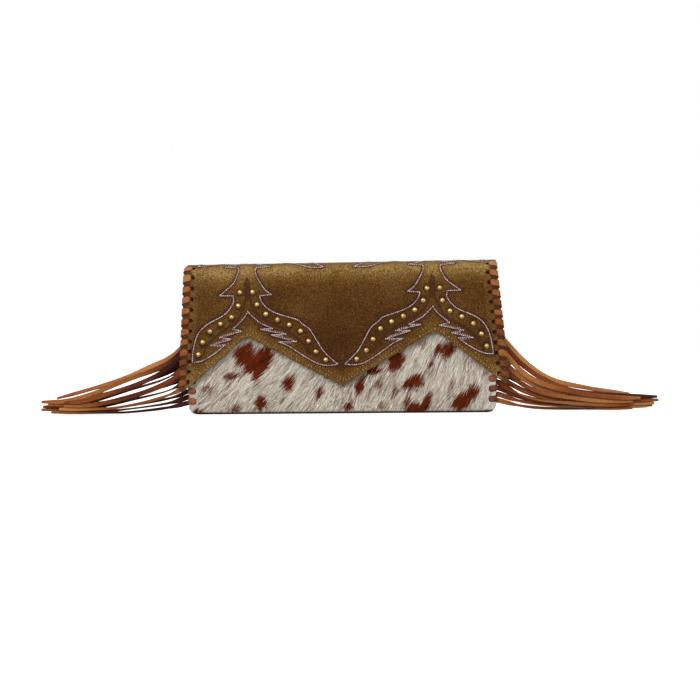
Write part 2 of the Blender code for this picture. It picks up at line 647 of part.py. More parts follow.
def smooth_way(points, count, steps=24):
    """Count places spaced evenly along a smooth curve through the points."""
    ends = [2 * Vector(points[0]) - Vector(points[1]), *map(Vector, points),
            2 * Vector(points[-1]) - Vector(points[-2])]
    fine = []
    for i in range(1, len(ends) - 2):
        a, b, c, d = ends[i - 1:i + 3]
        for s in range(steps):
            t = s / steps
            fine.append(0.5 * (2 * b + (c - a) * t + (2 * a - 5 * b + 4 * c - d) * t * t
                               + (3 * b - a - 3 * c + d) * t ** 3))
    fine.append(ends[-2])
    ways = [0.0]
    for p, q in zip(fine, fine[1:]):
        ways.append(ways[-1] + (q - p).length)
    out = []
    for k in range(count):
        want = ways[-1] * k / (count - 1)
        i = min(max(next((j for j, w in enumerate(ways) if w >= want), 1), 1), len(ways) - 1)
        f = (want - ways[i - 1]) / max(ways[i] - ways[i - 1], 1e-9)
        out.append(fine[i - 1].lerp(fine[i], f))
    return out


# Stud rows: u out from the motif's middle towards the wallet's middle, v down from the front fold
stud_places = []
inner_line = smooth_way(INNER_STUD_LINE, INNER_STUDS)
outer_line = smooth_way(OUTER_STUD_LINE, OUTER_STUDS)
for side, name in ((-1, "left"), (1, "right")):
    for row, line in (("inner", inner_line), ("outer", outer_line)):
        for k, p in enumerate(line):
            stud_places.append((f"stud_{name}_{row}_{k + 1}", side * (MOTIF_X - p.x), p.y))

round_rows = [-FLAP_LEATHER / 2 * math.sin(math.radians(a)) for a in reversed(ROUND_STEPS)]
leather_rows = [FLAP_SETTLE, *reversed(round_rows)]
lace_slots = [slot(s * (flap_edge(v) - LACE_HOLE_IN), v, HOLE_WIDE, HOLE_TALL)
              for s in (-1, 1) for v in flap_holes]
shank_holes = [[(u + (STUD_SHANK + CLEARANCE) * math.cos(math.pi * k / 3), v + (STUD_SHANK + CLEARANCE)
                 * math.sin(math.pi * k / 3)) for k in range(6)] for _, u, v in stud_places]
sheet("flap_leather", flap_cut(0, 0, 0, leather_rows), lace_slots + shank_holes,
      flap_place(0.0, FLAP_LEATHER, True), OLIVE)
lining_mid = -(FLAP_LEATHER / 2 + CLEARANCE + FLAP_LINING / 2)
lining_cut = flap_cut(FLAP_LINING_TOP, FLAP_LINING_HEM, FLAP_LINING_LOW_HEM, [FLAP_SETTLE, FLAP_LINING_TOP])
sheet("flap_lining", lining_cut, [], flap_place(lining_mid, FLAP_LINING), SUEDE)

for side, name in ((-1, "left"), (1, "right")):
    def flap_side(a, b, c, side=side):
        return on_flap(side * (flap_edge(a) - b), a, c)

    lace("flap_lace_" + name, flap_holes, FLAP_LEATHER, flap_side, TAN_LACE)

# Domed studs: each has a shank through the flap leather
for name, u, v in stud_places:
    centre = on_flap(u, v, FLAP_LEATHER / 2 + CLEARANCE)
    sides, points, faces = 8, [], []
    rings = [(STUD_SHANK, -FLAP_LEATHER), (STUD_SHANK, 0.0), (STUD_RADIUS, 0.0),
             (STUD_RADIUS * STUD_SHOULDER, STUD_HEIGHT * STUD_SHOULDER)]
    for radius, out in rings:
        for k in range(sides):
            a = 2 * math.pi * k / sides
            points.append(centre + Vector((radius * math.cos(a), -out, radius * math.sin(a))))
    points.append(centre + Vector((0, -STUD_HEIGHT, 0)))
    for r in range(len(rings) - 1):
        faces += [(r * sides + k, r * sides + (k + 1) % sides, (r + 1) * sides + (k + 1) % sides,
                   (r + 1) * sides + k) for k in range(sides)]
    faces.append(tuple(range(sides)))
    last = (len(rings) - 1) * sides
    faces += [(last + k, last + (k + 1) % sides, len(points) - 1) for k in range(sides)]
    make(name, points, faces, BRASS, centre, smooth=True)

# Magnetic snap: the socket on the hide and the stud on the flap's lining
snap_x = on_flap(0, AXIS_Z - SNAP_Z).x
rod("snap_socket", (snap_x, FRONT_Y - CLEARANCE - SNAP_SOCKET / 2, SNAP_Z),
    SNAP_RADIUS, SNAP_SOCKET, STEEL, 16)
snap_low = FRONT_Y - 2 * CLEARANCE - SNAP_SOCKET
snap_high = FLAP_LINING_IN + CLEARANCE
rod("snap_stud", (snap_x, (snap_low + snap_high) / 2, SNAP_Z), SNAP_RADIUS, snap_low - snap_high, STEEL, 16)

# Moving pieces hang from empties on their axes
def pivot(name, place, children):
    empty = bpy.data.objects.new(name, None)
    empty.location = Vector(place) * MM
    bpy.context.scene.collection.objects.link(empty)
    bpy.context.view_layer.update()
    for child in children:
        child.parent = empty
        child.matrix_parent_inverse = empty.matrix_world.inverted()
    return empty


objects = bpy.data.objects
flap_names = ["flap_leather", "flap_lining", "flap_lace_left", "flap_lace_right", "snap_stud"]
flap_names += [name for name, _, _ in stud_places]
flap_pivot = pivot("front_fold", (0, FRONT_AXIS_Y, AXIS_Z), [objects[n] for n in flap_names])
pivot("rear_fold", (0, REAR_AXIS_Y, AXIS_Z), [objects["spine_leather"], flap_pivot])
pivot("pull_pin", (slide_x, 0, pin_z), [objects["zip_pull"]])
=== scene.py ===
import math
import random

import bmesh
import bpy
from mathutils import Matrix, Vector
from mathutils.geometry import delaunay_2d_cdt


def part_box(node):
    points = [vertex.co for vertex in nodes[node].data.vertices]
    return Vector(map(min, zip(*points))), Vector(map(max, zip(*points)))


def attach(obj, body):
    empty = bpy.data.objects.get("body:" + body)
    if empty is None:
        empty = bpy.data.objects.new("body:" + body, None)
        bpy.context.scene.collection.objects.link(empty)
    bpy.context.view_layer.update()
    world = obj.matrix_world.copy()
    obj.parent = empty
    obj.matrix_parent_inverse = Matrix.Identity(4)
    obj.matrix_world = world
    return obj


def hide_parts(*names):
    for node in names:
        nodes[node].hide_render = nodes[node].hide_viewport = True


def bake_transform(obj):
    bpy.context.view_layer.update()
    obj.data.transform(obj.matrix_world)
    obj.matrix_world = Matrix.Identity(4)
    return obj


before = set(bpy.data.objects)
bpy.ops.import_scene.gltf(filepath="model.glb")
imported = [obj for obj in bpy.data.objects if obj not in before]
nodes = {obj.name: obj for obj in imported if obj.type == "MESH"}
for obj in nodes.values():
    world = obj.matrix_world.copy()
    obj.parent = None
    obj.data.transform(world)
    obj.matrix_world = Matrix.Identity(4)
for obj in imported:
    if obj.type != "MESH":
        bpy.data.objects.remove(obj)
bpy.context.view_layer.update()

MM = 0.001
scene = bpy.context.scene
scene.view_settings.view_transform = "Standard"

# Camera
# The photograph was taken from almost straight ahead, a little to the right of the wallet and
# halfway up its height. The place, lens and slight tilt come from a fit to its corners.
CAMERA_AZIMUTH = math.radians(4.9)
CAMERA_ELEVATION = math.radians(0.63)
CAMERA_ROLL = math.radians(-0.74)
CAMERA_DISTANCE = 0.930
CAMERA_TARGET = Vector((0.0064, 0.0, 0.0483))
camera_data = bpy.data.cameras.new("camera")
camera_data.lens = 61.8
camera_data.sensor_width = 36.0
camera = bpy.data.objects.new("camera", camera_data)
scene.collection.objects.link(camera)
outward = Vector((math.sin(CAMERA_AZIMUTH) * math.cos(CAMERA_ELEVATION),
                  -math.cos(CAMERA_AZIMUTH) * math.cos(CAMERA_ELEVATION), math.sin(CAMERA_ELEVATION)))
level_right = Vector((math.cos(CAMERA_AZIMUTH), math.sin(CAMERA_AZIMUTH), 0.0))
level_up = outward.cross(level_right)
right = level_right * math.cos(CAMERA_ROLL) + level_up * math.sin(CAMERA_ROLL)
up = level_up * math.cos(CAMERA_ROLL) - level_right * math.sin(CAMERA_ROLL)
camera.matrix_world = (Matrix.Translation(CAMERA_TARGET + outward * CAMERA_DISTANCE)
                       @ Matrix((right, up, outward)).transposed().to_4x4())
scene.camera = camera

# Studio light
# The photograph is lit by a large soft source high on the left in front, with a wide fill, so the
# shadows are pale and the studs catch their light at the upper left.
world = bpy.data.worlds.new("studio")
scene.world = world
world.use_nodes = True
tree = world.node_tree
tree.nodes.clear()
path = tree.nodes.new("ShaderNodeLightPath")
seen = tree.nodes.new("ShaderNodeMath")
seen.operation = "MAXIMUM"
tree.links.new(path.outputs["Is Camera Ray"], seen.inputs[0])
tree.links.new(path.outputs["Is Glossy Ray"], seen.inputs[1])
through = tree.nodes.new("ShaderNodeMath")
through.operation = "MAXIMUM"
tree.links.new(seen.outputs[0], through.inputs[0])
tree.links.new(path.outputs["Is Transmission Ray"], through.inputs[1])
ambient = tree.nodes.new("ShaderNodeBackground")
ambient.inputs["Color"].default_value = (0.97, 0.98, 1.0, 1.0)
ambient.inputs["Strength"].default_value = 0.42
white = tree.nodes.new("ShaderNodeBackground")
white.inputs["Color"].default_value = (1.0, 1.0, 1.0, 1.0)
white.inputs["Strength"].default_value = 1.0
which = tree.nodes.new("ShaderNodeMixShader")
sky = tree.nodes.new("ShaderNodeOutputWorld")
tree.links.new(through.outputs[0], which.inputs[0])
tree.links.new(ambient.outputs[0], which.inputs[1])
tree.links.new(white.outputs[0], which.inputs[2])
tree.links.new(which.outputs[0], sky.inputs["Surface"])
for name, place, size, power, colour in (
        ("key", (-0.42, -1.45, 0.72), 0.9, 18.4, (1.0, 0.985, 0.96)),
        ("fill", (1.15, -1.1, 0.55), 1.1, 6.5, (0.97, 0.985, 1.0)),
        ("top", (0.1, 0.35, 1.3), 1.0, 6.0, (1.0, 1.0, 1.0)),
        ("rear", (0.35, 1.6, 0.55), 1.3, 22.0, (1.0, 0.995, 0.985))):
    light = bpy.data.lights.new(name, "AREA")
    light.shape = "DISK"
    light.size = size
    light.energy = power
    light.color = colour
    lamp = bpy.data.objects.new(name, light)
    lamp.location = place
    lamp.rotation_euler = (Vector((0, 0, 0.05)) - Vector(place)).to_track_quat("-Z", "Y").to_euler()
    scene.collection.objects.link(lamp)

# Floor
# A pale studio floor that fades into white behind the wallet and keeps its soft shadow.
FLOOR_HALF = 3.0
floor_mesh = bpy.data.meshes.new("floor")
floor_mesh.from_pydata([(-FLOOR_HALF, -FLOOR_HALF, 0), (FLOOR_HALF, -FLOOR_HALF, 0),
                        (FLOOR_HALF, FLOOR_HALF, 0), (-FLOOR_HALF, FLOOR_HALF, 0)], [], [(0, 1, 2, 3)])
floor = bpy.data.objects.new("floor", floor_mesh)
scene.collection.objects.link(floor)
floor_mat = bpy.data.materials.new("studio_floor")
floor_mat.use_nodes = True
tree = floor_mat.node_tree
tree.nodes.clear()
paper = tree.nodes.new("ShaderNodeBsdfDiffuse")
paper.inputs["Color"].default_value = (0.62, 0.62, 0.62, 1.0)
glow = tree.nodes.new("ShaderNodeEmission")
glow.inputs["Color"].default_value = (1.0, 1.0, 1.0, 1.0)
path = tree.nodes.new("ShaderNodeLightPath")
lift = tree.nodes.new("ShaderNodeMath")
lift.operation = "MULTIPLY"
both = tree.nodes.new("ShaderNodeAddShader")
out = tree.nodes.new("ShaderNodeOutputMaterial")
where = tree.nodes.new("ShaderNodeTexCoord")
from_middle = tree.nodes.new("ShaderNodeVectorMath")
from_middle.operation = "LENGTH"
fade = tree.nodes.new("ShaderNodeMapRange")
fade.inputs["From Min"].default_value = 0.26
fade.inputs["From Max"].default_value = 0.9
fade.inputs["To Min"].default_value = 0.66
fade.inputs["To Max"].default_value = 1.0
tree.links.new(where.outputs["Object"], from_middle.inputs[0])
tree.links.new(from_middle.outputs["Value"], fade.inputs["Value"])
tree.links.new(path.outputs["Is Camera Ray"], lift.inputs[0])
tree.links.new(fade.outputs["Result"], lift.inputs[1])
tree.links.new(lift.outputs[0], glow.inputs["Strength"])
tree.links.new(paper.outputs[0], both.inputs[0])
tree.links.new(glow.outputs[0], both.inputs[1])
tree.links.new(both.outputs[0], out.inputs["Surface"])
floor_mesh.materials.append(floor_mat)

# Front hide
# The front wall is cowhide with the hair left on, pale grey with red-brown spots, and lies with the hair
# combed down to the left. The skin is a cut panel with a slot for each turn of the lacing, and the hair
# on it is separate tapered strands.
HIDE_HALF = 118.0
HIDE_TOP = 99.0
HIDE_FRONT_Y = -12.0
HIDE_THICK = 1.6
HIDE_CORNER = 7.0
HOLE_IN = 5.5
HOLE_WIDE = 0.8
HOLE_TALL = 1.8
HOLE_PITCH = 7.8
BODY_HOLES = [9.5 + HOLE_PITCH * i for i in range(12)]
HAIR_PALE = (0.56, 0.53, 0.475)
HAIR_GREY = (0.27, 0.245, 0.215)
HAIR_SPOT = (0.135, 0.024, 0.007)
# Dark colour of the skin's cut edge, also used for the painted shade along its bottom edge
HIDE_EDGE_AND_SHADE = (0.030, 0.012, 0.009)
# Each spot: X, Z, width, height and strength
HIDE_SPOTS = [
    (-75, 46, 16, 16, 1.0), (-60, 43, 17, 18, 1.0), (-66.5, 38, 20, 15, 1.0), (-65, 31, 9, 10, 1.0),
    (-84, 29, 13, 5, 0.85), (-104, 20, 11, 5, 0.7), (-90, 14, 4, 6, 0.4), (-63, 24, 4, 6, 0.4),
    (-40.5, 23, 8, 12, 1.0), (-62.5, 8.5, 8.5, 10, 1.0), (-17, 16.5, 5, 9, 0.95), (-82, 4, 8, 6, 0.85),
    (5, 5.5, 8, 8, 1.0), (-112, 1, 10, 6, 1.0), (42.2, 39.5, 13, 15.5, 1.0), (25.5, 33, 11.5, 7.5, 1.0),
    (14, 21.5, 8, 12.5, 1.0), (27.5, 22.5, 8, 6, 0.65), (21, 15.5, 4, 7, 0.5), (55.5, 24, 14, 11, 1.0),
    (50, 20.5, 8, 5, 0.85), (40.5, 17.5, 5, 7, 0.7), (58, 3.5, 18, 8.5, 1.0), (50.5, 8, 6, 9, 0.9),
    (65.5, 9.5, 5.5, 12, 0.95), (67.5, 37, 4, 7.5, 0.8), (57, 39.5, 4, 4, 0.5), (63, 53, 5, 7, 0.5),
    (74.5, 48.5, 7.5, 9.5, 1.0), (82, 48, 9, 14, 1.0), (83, 20, 4, 9, 0.5), (90.5, 8.5, 12.5, 13.5, 1.0),
    (99.5, 15.5, 10, 13, 1.0), (108.5, 30.5, 6, 5, 0.6), (113, 0.5, 8, 4, 1.0), (31.5, 5.5, 8, 5, 0.5),
    (-20, 78, 30, 18, 1.0), (44, 84, 22, 14, 1.0), (-88, 80, 18, 20, 0.9), (96, 76, 16, 10, 0.8)]


def add(tree, kind, links=None, **settings):
    """A node of a tree, with its settings and with values or other nodes' outputs on its inputs."""
    node = tree.nodes.new(kind)
    for key, value in settings.items():
        setattr(node, key, value)
    for key, value in (links or {}).items():
        if isinstance(value, bpy.types.NodeSocket):
            tree.links.new(value, node.inputs[key])
        else:
            node.inputs[key].default_value = value
    return node


def finish_named(name):
    """A new material: its tree, its shader and its object coordinates."""
    mat = bpy.data.materials.new(name)
    mat.use_nodes = True
    tree = mat.node_tree
    return mat, tree, tree.nodes["Principled BSDF"], add(tree, "ShaderNodeTexCoord").outputs["Object"]


def noise(tree, at, scale, detail=3.0, rough=0.5, stretch=None, turn=0.0):
    """Noise with cells about 1/scale of a metre across, stretched and turned where asked."""
    if stretch:
        at = add(tree, "ShaderNodeMapping", {"Vector": at, "Rotation": (0, turn, 0)}).outputs[0]
        at = add(tree, "ShaderNodeMapping", {"Vector": at, "Scale": stretch}).outputs[0]
    return add(tree, "ShaderNodeTexNoise", {"Vector": at, "Scale": scale, "Detail": detail,
                                            "Roughness": rough}).outputs["Fac"]


def ramp(tree, value, *stops):
    """A run of colours by value: each stop is a place and a colour or a grey."""
    node = add(tree, "ShaderNodeValToRGB", {"Fac": value})
    band = node.color_ramp.elements
    while len(band) < len(stops):
        band.new(0.5)
    for element, (place, colour) in zip(band, stops):
        element.position = place
        element.color = (*colour, 1.0) if isinstance(colour, tuple) else (colour, colour, colour, 1.0)
    return node.outputs["Color"]


def blended(tree, share, first, second, kind="MIX"):
    """Two colours mixed by a share."""
    node = add(tree, "ShaderNodeMix", data_type="RGBA", blend_type=kind)
    for key, value in ((0, share), (6, first), (7, second)):
        if isinstance(value, bpy.types.NodeSocket):
            tree.links.new(value, node.inputs[key])
        else:
            node.inputs[key].default_value = (*value, 1.0) if isinstance(value, tuple) else value
    return node.outputs[2]


def maths(tree, kind, first, second=0.0, third=0.0):
    node = add(tree, "ShaderNodeMath", operation=kind)
    for key, value in enumerate((first, second, third)):
        if isinstance(value, bpy.types.NodeSocket):
            tree.links.new(value, node.inputs[key])
        else:
            node.inputs[key].default_value = value
    return node.outputs[0]


def bumped(tree, shader, height, depth, under=None):
    """A bump of so many metres on a shader, over another bump where there is one."""
    node = add(tree, "ShaderNodeBump", {"Height": height, "Distance": depth, "Strength": 1.0})
    if under:
        tree.links.new(under, node.inputs["Normal"])
    tree.links.new(node.outputs[0], shader.inputs["Normal"])
    return node.outputs[0]


def shape(name, points, faces, mat, smooth=40.0, values=None):
    """A mesh object from points in millimetres, with its own named values at each point."""
    mesh = bpy.data.meshes.new(name)
    mesh.from_pydata([(p[0] * MM, p[1] * MM, p[2] * MM) for p in points], [], faces)
    for key, numbers in (values or {}).items():
        mesh.attributes.new(key, "FLOAT", "POINT").data.foreach_set("value", numbers)
    if mat:
        mesh.materials.append(mat)
    if smooth:
        mesh.shade_smooth()
        mesh.set_sharp_from_angle(angle=math.radians(smooth))
    obj = bpy.data.objects.new(name, mesh)
    scene.collection.objects.link(obj)
    return obj


def grown(name, base, tree, sizes, mat, moved=None, smooth=40.0):
    """The mesh that a Geometry Nodes tree makes on a base, as a plain object of its own."""
    mod = base.modifiers.new("grow", "NODES")
    mod.node_group = tree
    for item in tree.interface.items_tree:
        if item.in_out == "INPUT" and item.name in sizes:
            mod[item.identifier] = sizes[item.name]
    mesh = bpy.data.meshes.new_from_object(base.evaluated_get(bpy.context.evaluated_depsgraph_get()))
    bpy.data.objects.remove(base, do_unlink=True)
    mesh.name = name
    mesh.materials.clear()
    mesh.materials.append(mat)
    if moved:
        for vertex in mesh.vertices:
            vertex.co = moved(vertex.co)
    if smooth:
        mesh.shade_smooth()
        mesh.set_sharp_from_angle(angle=math.radians(smooth))
    obj = bpy.data.objects.new(name, mesh)
    scene.collection.objects.link(obj)
    return obj


def new_growth(name, *inputs):
    """An empty Geometry Nodes tree with a geometry in and out and the named inputs."""
    tree = bpy.data.node_groups.new(name, "GeometryNodeTree")
    tree.interface.new_socket("Geometry", in_out="INPUT", socket_type="NodeSocketGeometry")
    tree.interface.new_socket("Geometry", in_out="OUTPUT", socket_type="NodeSocketGeometry")
    for label, kind in inputs:
        tree.interface.new_socket(label, in_out="INPUT", socket_type=kind)
    return tree, tree.nodes.new("NodeGroupInput"), tree.nodes.new("NodeGroupOutput")


def set_down(obj, body, slot, *replaced):
    """A finished piece rides on its body and stands for the nodes it replaces."""
    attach(obj, body)
    if replaced:
        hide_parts(*replaced)


def inside(loop, x, y):
    hit = False
    for i, (x1, y1) in enumerate(loop):
        x0, y0 = loop[i - 1]
        if (y0 > y) != (y1 > y) and x < (x1 - x0) * (y - y0) / (y1 - y0) + x0:
            hit = not hit
    return hit


def rounded(corners, steps=6):
    """A closed outline with each (x, y, radius) corner turned into an arc."""
    out = []
    for i, (x, y, r) in enumerate(corners):
        here = Vector((x, y))
        before = (Vector(corners[i - 1][:2]) - here).normalized()
        after = (Vector(corners[(i + 1) % len(corners)][:2]) - here).normalized()
        if r <= 0:
            out.append((x, y))
            continue
        half = math.acos(max(-1, min(1, before.dot(after)))) / 2
        reach = r / math.tan(half)
        middle = here + (before + after).normalized() * (r / math.sin(half))
        a, b = here + before * reach - middle, here + after * reach - middle
        turn = math.atan2(a.x * b.y - a.y * b.x, a.dot(b))
        for s in range(steps + 1):
            t = turn * s / steps
            spun = Vector((a.x * math.cos(t) - a.y * math.sin(t), a.x * math.sin(t) + a.y * math.cos(t)))
            out.append(tuple(middle + spun))
    return out


def spaced(loop, step, closed=True):
    """The same outline with points no further apart than a step."""
    out = []
    for i, (x, y) in enumerate(loop if closed else loop[:-1]):
        x1, y1 = loop[(i + 1) % len(loop)]
        n = max(1, math.ceil(math.hypot(x1 - x, y1 - y) / step))
        out += [(x + (x1 - x) * k / n, y + (y1 - y) * k / n) for k in range(n)]
    return out if closed else out + [loop[-1]]


def drawn_in(loop, by):
    """An outline moved inwards, for the rounding of a cut edge. The outline runs anticlockwise."""
    out = []
    for i, here in enumerate(loop):
        a, b = Vector(here) - Vector(loop[i - 1]), Vector(loop[(i + 1) % len(loop)]) - Vector(here)
        n = (Vector((-a.y, a.x)).normalized() + Vector((-b.y, b.x)).normalized()).normalized()
        out.append(tuple(Vector(here) + n * by / max(n.dot(Vector((-a.y, a.x)).normalized()), 0.5)))
    return out


def area_of(loop):
    return sum(loop[i - 1][0] * y - x * loop[i - 1][1] for i, (x, y) in enumerate(loop)) / 2


def cut_sheet(name, outline, holes, place, mat, grid=4.0, extra=(), bevel=0.35, values=None, near=0.0):
    """Leather cut to a pattern: place(u, v) gives the middle, the normal and half the thickness there.
    Its edges are rounded over, and extra rows of points sharpen the lines drawn on it."""
    if area_of(outline) < 0:
        outline = outline[::-1]
    loops = [outline, drawn_in(outline, bevel), drawn_in(outline, 2.2 * bevel)]
    pts, edges, depth = [], [], []
    for k, loop in enumerate(loops):
        first = len(pts)
        pts += [Vector(p) for p in loop]
        edges += [(first + i, first + (i + 1) % len(loop)) for i in range(len(loop))]
    for hole in holes:
        first = len(pts)
        pts += [Vector(p) for p in hole]
        edges += [(first + i, first + (i + 1) % len(hole)) for i in range(len(hole))]
    core = loops[2]
    for line in extra:
        pts += [Vector(p) for p in line if inside(core, *p)]
    low_u, high_u = min(p[0] for p in outline), max(p[0] for p in outline)
    low_v, high_v = min(p[1] for p in outline), max(p[1] for p in outline)
    taken = {(round(p.x / grid), round(p.y / grid / 0.87)) for p in pts} if near else set()
    row, v = 0, low_v + grid / 2
    while v < high_v:
        u = low_u + grid * (0.5 if row % 2 else 1.0)
        while u < high_u:
            if (round(u / grid), round(v / grid / 0.87)) not in taken and inside(core, u, v):
                if not any(abs(u - h[0][0]) < 3 and abs(v - h[0][1]) < 3 and inside(h, u, v) for h in holes):
                    pts.append(Vector((u, v)))
            u += grid
        v += grid * 0.87
        row += 1
    flat, _, tris, _, _, _ = delaunay_2d_cdt(pts, edges, [], 0, 1e-5)
    keep = []
    for tri in tris:
        u, v = sum(flat[i].x for i in tri) / 3, sum(flat[i].y for i in tri) / 3
        if inside(outline, u, v) and not any(
                abs(u - h[0][0]) < 4 and abs(v - h[0][1]) < 4 and inside(h, u, v) for h in holes):
            keep.append(tuple(tri))
    used = sorted({i for tri in keep for i in tri})
    index = {old: new for new, old in enumerate(used)}
    rim, faces, n = {}, [], len(used)
    for tri in keep:
        a, b, c = (index[i] for i in tri)
        faces += [(a, b, c), (c + n, b + n, a + n)]
        for edge in ((a, b), (b, c), (c, a)):
            if edge[::-1] in rim:
                del rim[edge[::-1]]
            else:
                rim[edge] = True
    on_rim = {i for edge in rim for i in edge}
    first_ring = {(round(p[0], 3), round(p[1], 3)) for p in loops[0]}
    second_ring = {(round(p[0], 3), round(p[1], 3)) for p in loops[1]}
    front, back, where = [], [], []
    for new, old in enumerate(used):
        u, v = flat[old]
        point, normal, half = place(u, v)
        key = (round(u, 3), round(v, 3))
        fall = 0.45 if key in first_ring else 0.12 if key in second_ring else 0.0
        front.append(point + normal * half * (1 - fall))
        back.append(point - normal * half * (1 - fall))
        where.append((u, v))
    for a, b in rim:
        faces += [(b, a, a + n), (b, a + n, b + n)]
    numbers = {}
    if values:
        told = [values(u, v) for u, v in where]
        for key in told[0]:
            row = [t[key] for t in told]
            numbers[key] = row + [0.0] * n
    numbers["rim"] = [1.0 if i in on_rim and (round(where[i][0], 3),
                                              round(where[i][1], 3)) in first_ring else 0.0
                      for i in range(n)] * 2
    numbers["flesh"] = [0.0] * n + [1.0] * n
    points = front + back
    obj = shape(name, points, faces, mat, 50.0, numbers)
    bm = bmesh.new()
    bm.from_mesh(obj.data)
    bmesh.ops.recalc_face_normals(bm, faces=bm.faces)
    if bm.calc_volume(signed=True) < 0:
        bmesh.ops.reverse_faces(bm, faces=bm.faces)
    bm.to_mesh(obj.data)
    bm.free()
    return obj


def face_out(obj):
    """Turn every face of a mesh outwards."""
    bm = bmesh.new()
    bm.from_mesh(obj.data)
    bmesh.ops.recalc_face_normals(bm, faces=bm.faces)
    bm.to_mesh(obj.data)
    bm.free()


def told_by(tree, label):
    """The number that a mesh carries under a name, for its shader."""
    return add(tree, "ShaderNodeAttribute", attribute_name=label).outputs["Fac"]


def slot_hole(x, y, wide, tall):
    return [(x - wide / 2, y - tall / 2), (x + wide / 2, y - tall / 2),
            (x + wide / 2, y + tall / 2), (x - wide / 2, y + tall / 2)]


def spot_at(x, z):
    """How much of the spot colour the hair has at a place on the hide."""
    most = 0.0
    for cx, cz, wide, tall, strength in HIDE_SPOTS:
        dx, dz = x - cx, z - cz
        if abs(dx) > wide or abs(dz) > tall + 6:
            continue
        shear = dx - dz * 0.25
        wave = (1 + 0.20 * math.sin(dx * 0.55 + cz) * math.cos(dz * 0.7 + cx)
                + 0.07 * math.sin(dx * 1.9 + dz * 1.3))
        far = math.hypot(shear / (wide / 2), dz / (tall / 2)) * wave
        most = max(most, strength * min(max((1.06 - far) / 0.10, 0.0), 1.0))
    return most


low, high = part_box("snap_socket")
SNAP_X, SNAP_Z = (low.x + high.x) / 2 / MM, (low.z + high.z) / 2 / MM
SNAP_CLEAR = (high.x - low.x) / 2 / MM + 0.4


def hair_way(x, z):
    """The way the hair lies, in degrees from +X, turning steeper towards the right."""
    share = min(max((x + HIDE_HALF) / (2 * HIDE_HALF), 0.0), 1.0)
    return 227.0 + 20.0 * share + 7.0 * math.sin(x * 0.06 + z * 0.05) + 5.0 * math.sin(z * 0.11 - x * 0.03)


def hair_reach(x, z):
    """How far a strand from here may run along its way before it passes the hide's edge or the snap."""
    a = math.radians(hair_way(x, z))
    dx, dz = SNAP_X - x, SNAP_Z - z
    ahead, aside = dx * math.cos(a) + dz * math.sin(a), abs(dx * math.sin(a) - dz * math.cos(a))
    free = ahead - math.sqrt(SNAP_CLEAR ** 2 - aside ** 2) if aside < SNAP_CLEAR and ahead > 0 else 99.0
    return min(free, (z - 1.1) / max(-math.sin(a), 0.2), (x + HIDE_HALF + 0.6) / max(-math.cos(a), 0.1))


hide_outline = spaced(rounded([(-HIDE_HALF, 0, HIDE_CORNER), (HIDE_HALF, 0, HIDE_CORNER),
                               (HIDE_HALF, HIDE_TOP, 0), (-HIDE_HALF, HIDE_TOP, 0)]), 3.0)
hide_slots = [slot_hole(s * (HIDE_HALF - HOLE_IN), z, HOLE_WIDE, HOLE_TALL) for s in (-1, 1)
              for z in BODY_HOLES]


def hide_place(u, v):
    return Vector((u, HIDE_FRONT_Y + HIDE_THICK / 2, v)), Vector((0, -1, 0)), HIDE_THICK / 2


hide_mat, tree, shader, at = finish_named("spotted_hide_skin")
spot = told_by(tree, "spot")
rim = told_by(tree, "rim")
streak = noise(tree, at, 260, 4, 0.6, (1.0, 1.0, 0.16), math.radians(-40))
tone = ramp(tree, streak, (0.32, HAIR_GREY), (0.62, HAIR_PALE))
mixed = blended(tree, spot, tone, HAIR_SPOT)
mixed = blended(tree, rim, mixed, HIDE_EDGE_AND_SHADE)
# Below about 2 mm the skin is darkened by height: painted shade along the bottom edge, where the hair stops
# short
height = add(tree, "ShaderNodeSeparateXYZ", {"Vector": at}).outputs["Z"]
bottom_painted_shade = maths(tree, "MAXIMUM", maths(tree, "MULTIPLY_ADD", height, -900.0, 2.0), 0.0)
bottom_painted_shade = maths(tree, "MINIMUM", bottom_painted_shade, 1.0)
mixed = blended(tree, bottom_painted_shade, mixed, HIDE_EDGE_AND_SHADE)
tree.links.new(mixed, shader.inputs["Base Color"])
shader.inputs["Roughness"].default_value = 0.8
shader.inputs["Specular IOR Level"].default_value = 0.06
bumped(tree, shader, streak, 0.0004)
hide = cut_sheet("hide_skin", hide_outline, hide_slots, hide_place, hide_mat, 2.0,
                 values=lambda u, v: {"spot": spot_at(u, v)})
set_down(hide, "wallet_body", "spotted_hide", "front_hide")

# Hair of the hide
# Short guard hair grows all over the skin: tapered strands that leave it low, arch a little and lie down
# along the hide, each in the colour of the spot it grows from.
HAIR_LONG = 9.5
HAIR_THICK = 0.30
HAIR_DENSITY = 0.92
hair_mat, tree, shader, at = finish_named("spotted_hide_hair")
spot = told_by(tree, "spot")
tone = told_by(tree, "tone")
# In a fainter spot some strands are dark and the others stay pale
spot = maths(tree, "MULTIPLY_ADD", spot, 1.25, maths(tree, "SUBTRACT", tone, 1.0))
spot = maths(tree, "MULTIPLY", spot, 5.0)
spot = maths(tree, "MINIMUM", maths(tree, "MAXIMUM", spot, 0.0), 1.0)
wide_tone = noise(tree, at, 190, 3, 0.6, (1.0, 1.0, 0.18), math.radians(-42))
tone = maths(tree, "ADD", maths(tree, "MULTIPLY", tone, 0.55), maths(tree, "MULTIPLY", wide_tone, 0.55))
pale = ramp(tree, tone, (0.26, (0.14, 0.066, 0.036)), (0.36, (0.42, 0.32, 0.23)),
            (0.47, (0.67, 0.60, 0.495)), (0.66, (0.85, 0.81, 0.725)))
spotted = ramp(tree, tone, (0.25, (0.050, 0.006, 0.0012)), (0.7, (0.205, 0.028, 0.0035)))
tree.links.new(blended(tree, spot, pale, spotted), shader.inputs["Base Color"])
shader.inputs["Roughness"].default_value = 0.6
shader.inputs["Specular IOR Level"].default_value = 0.06

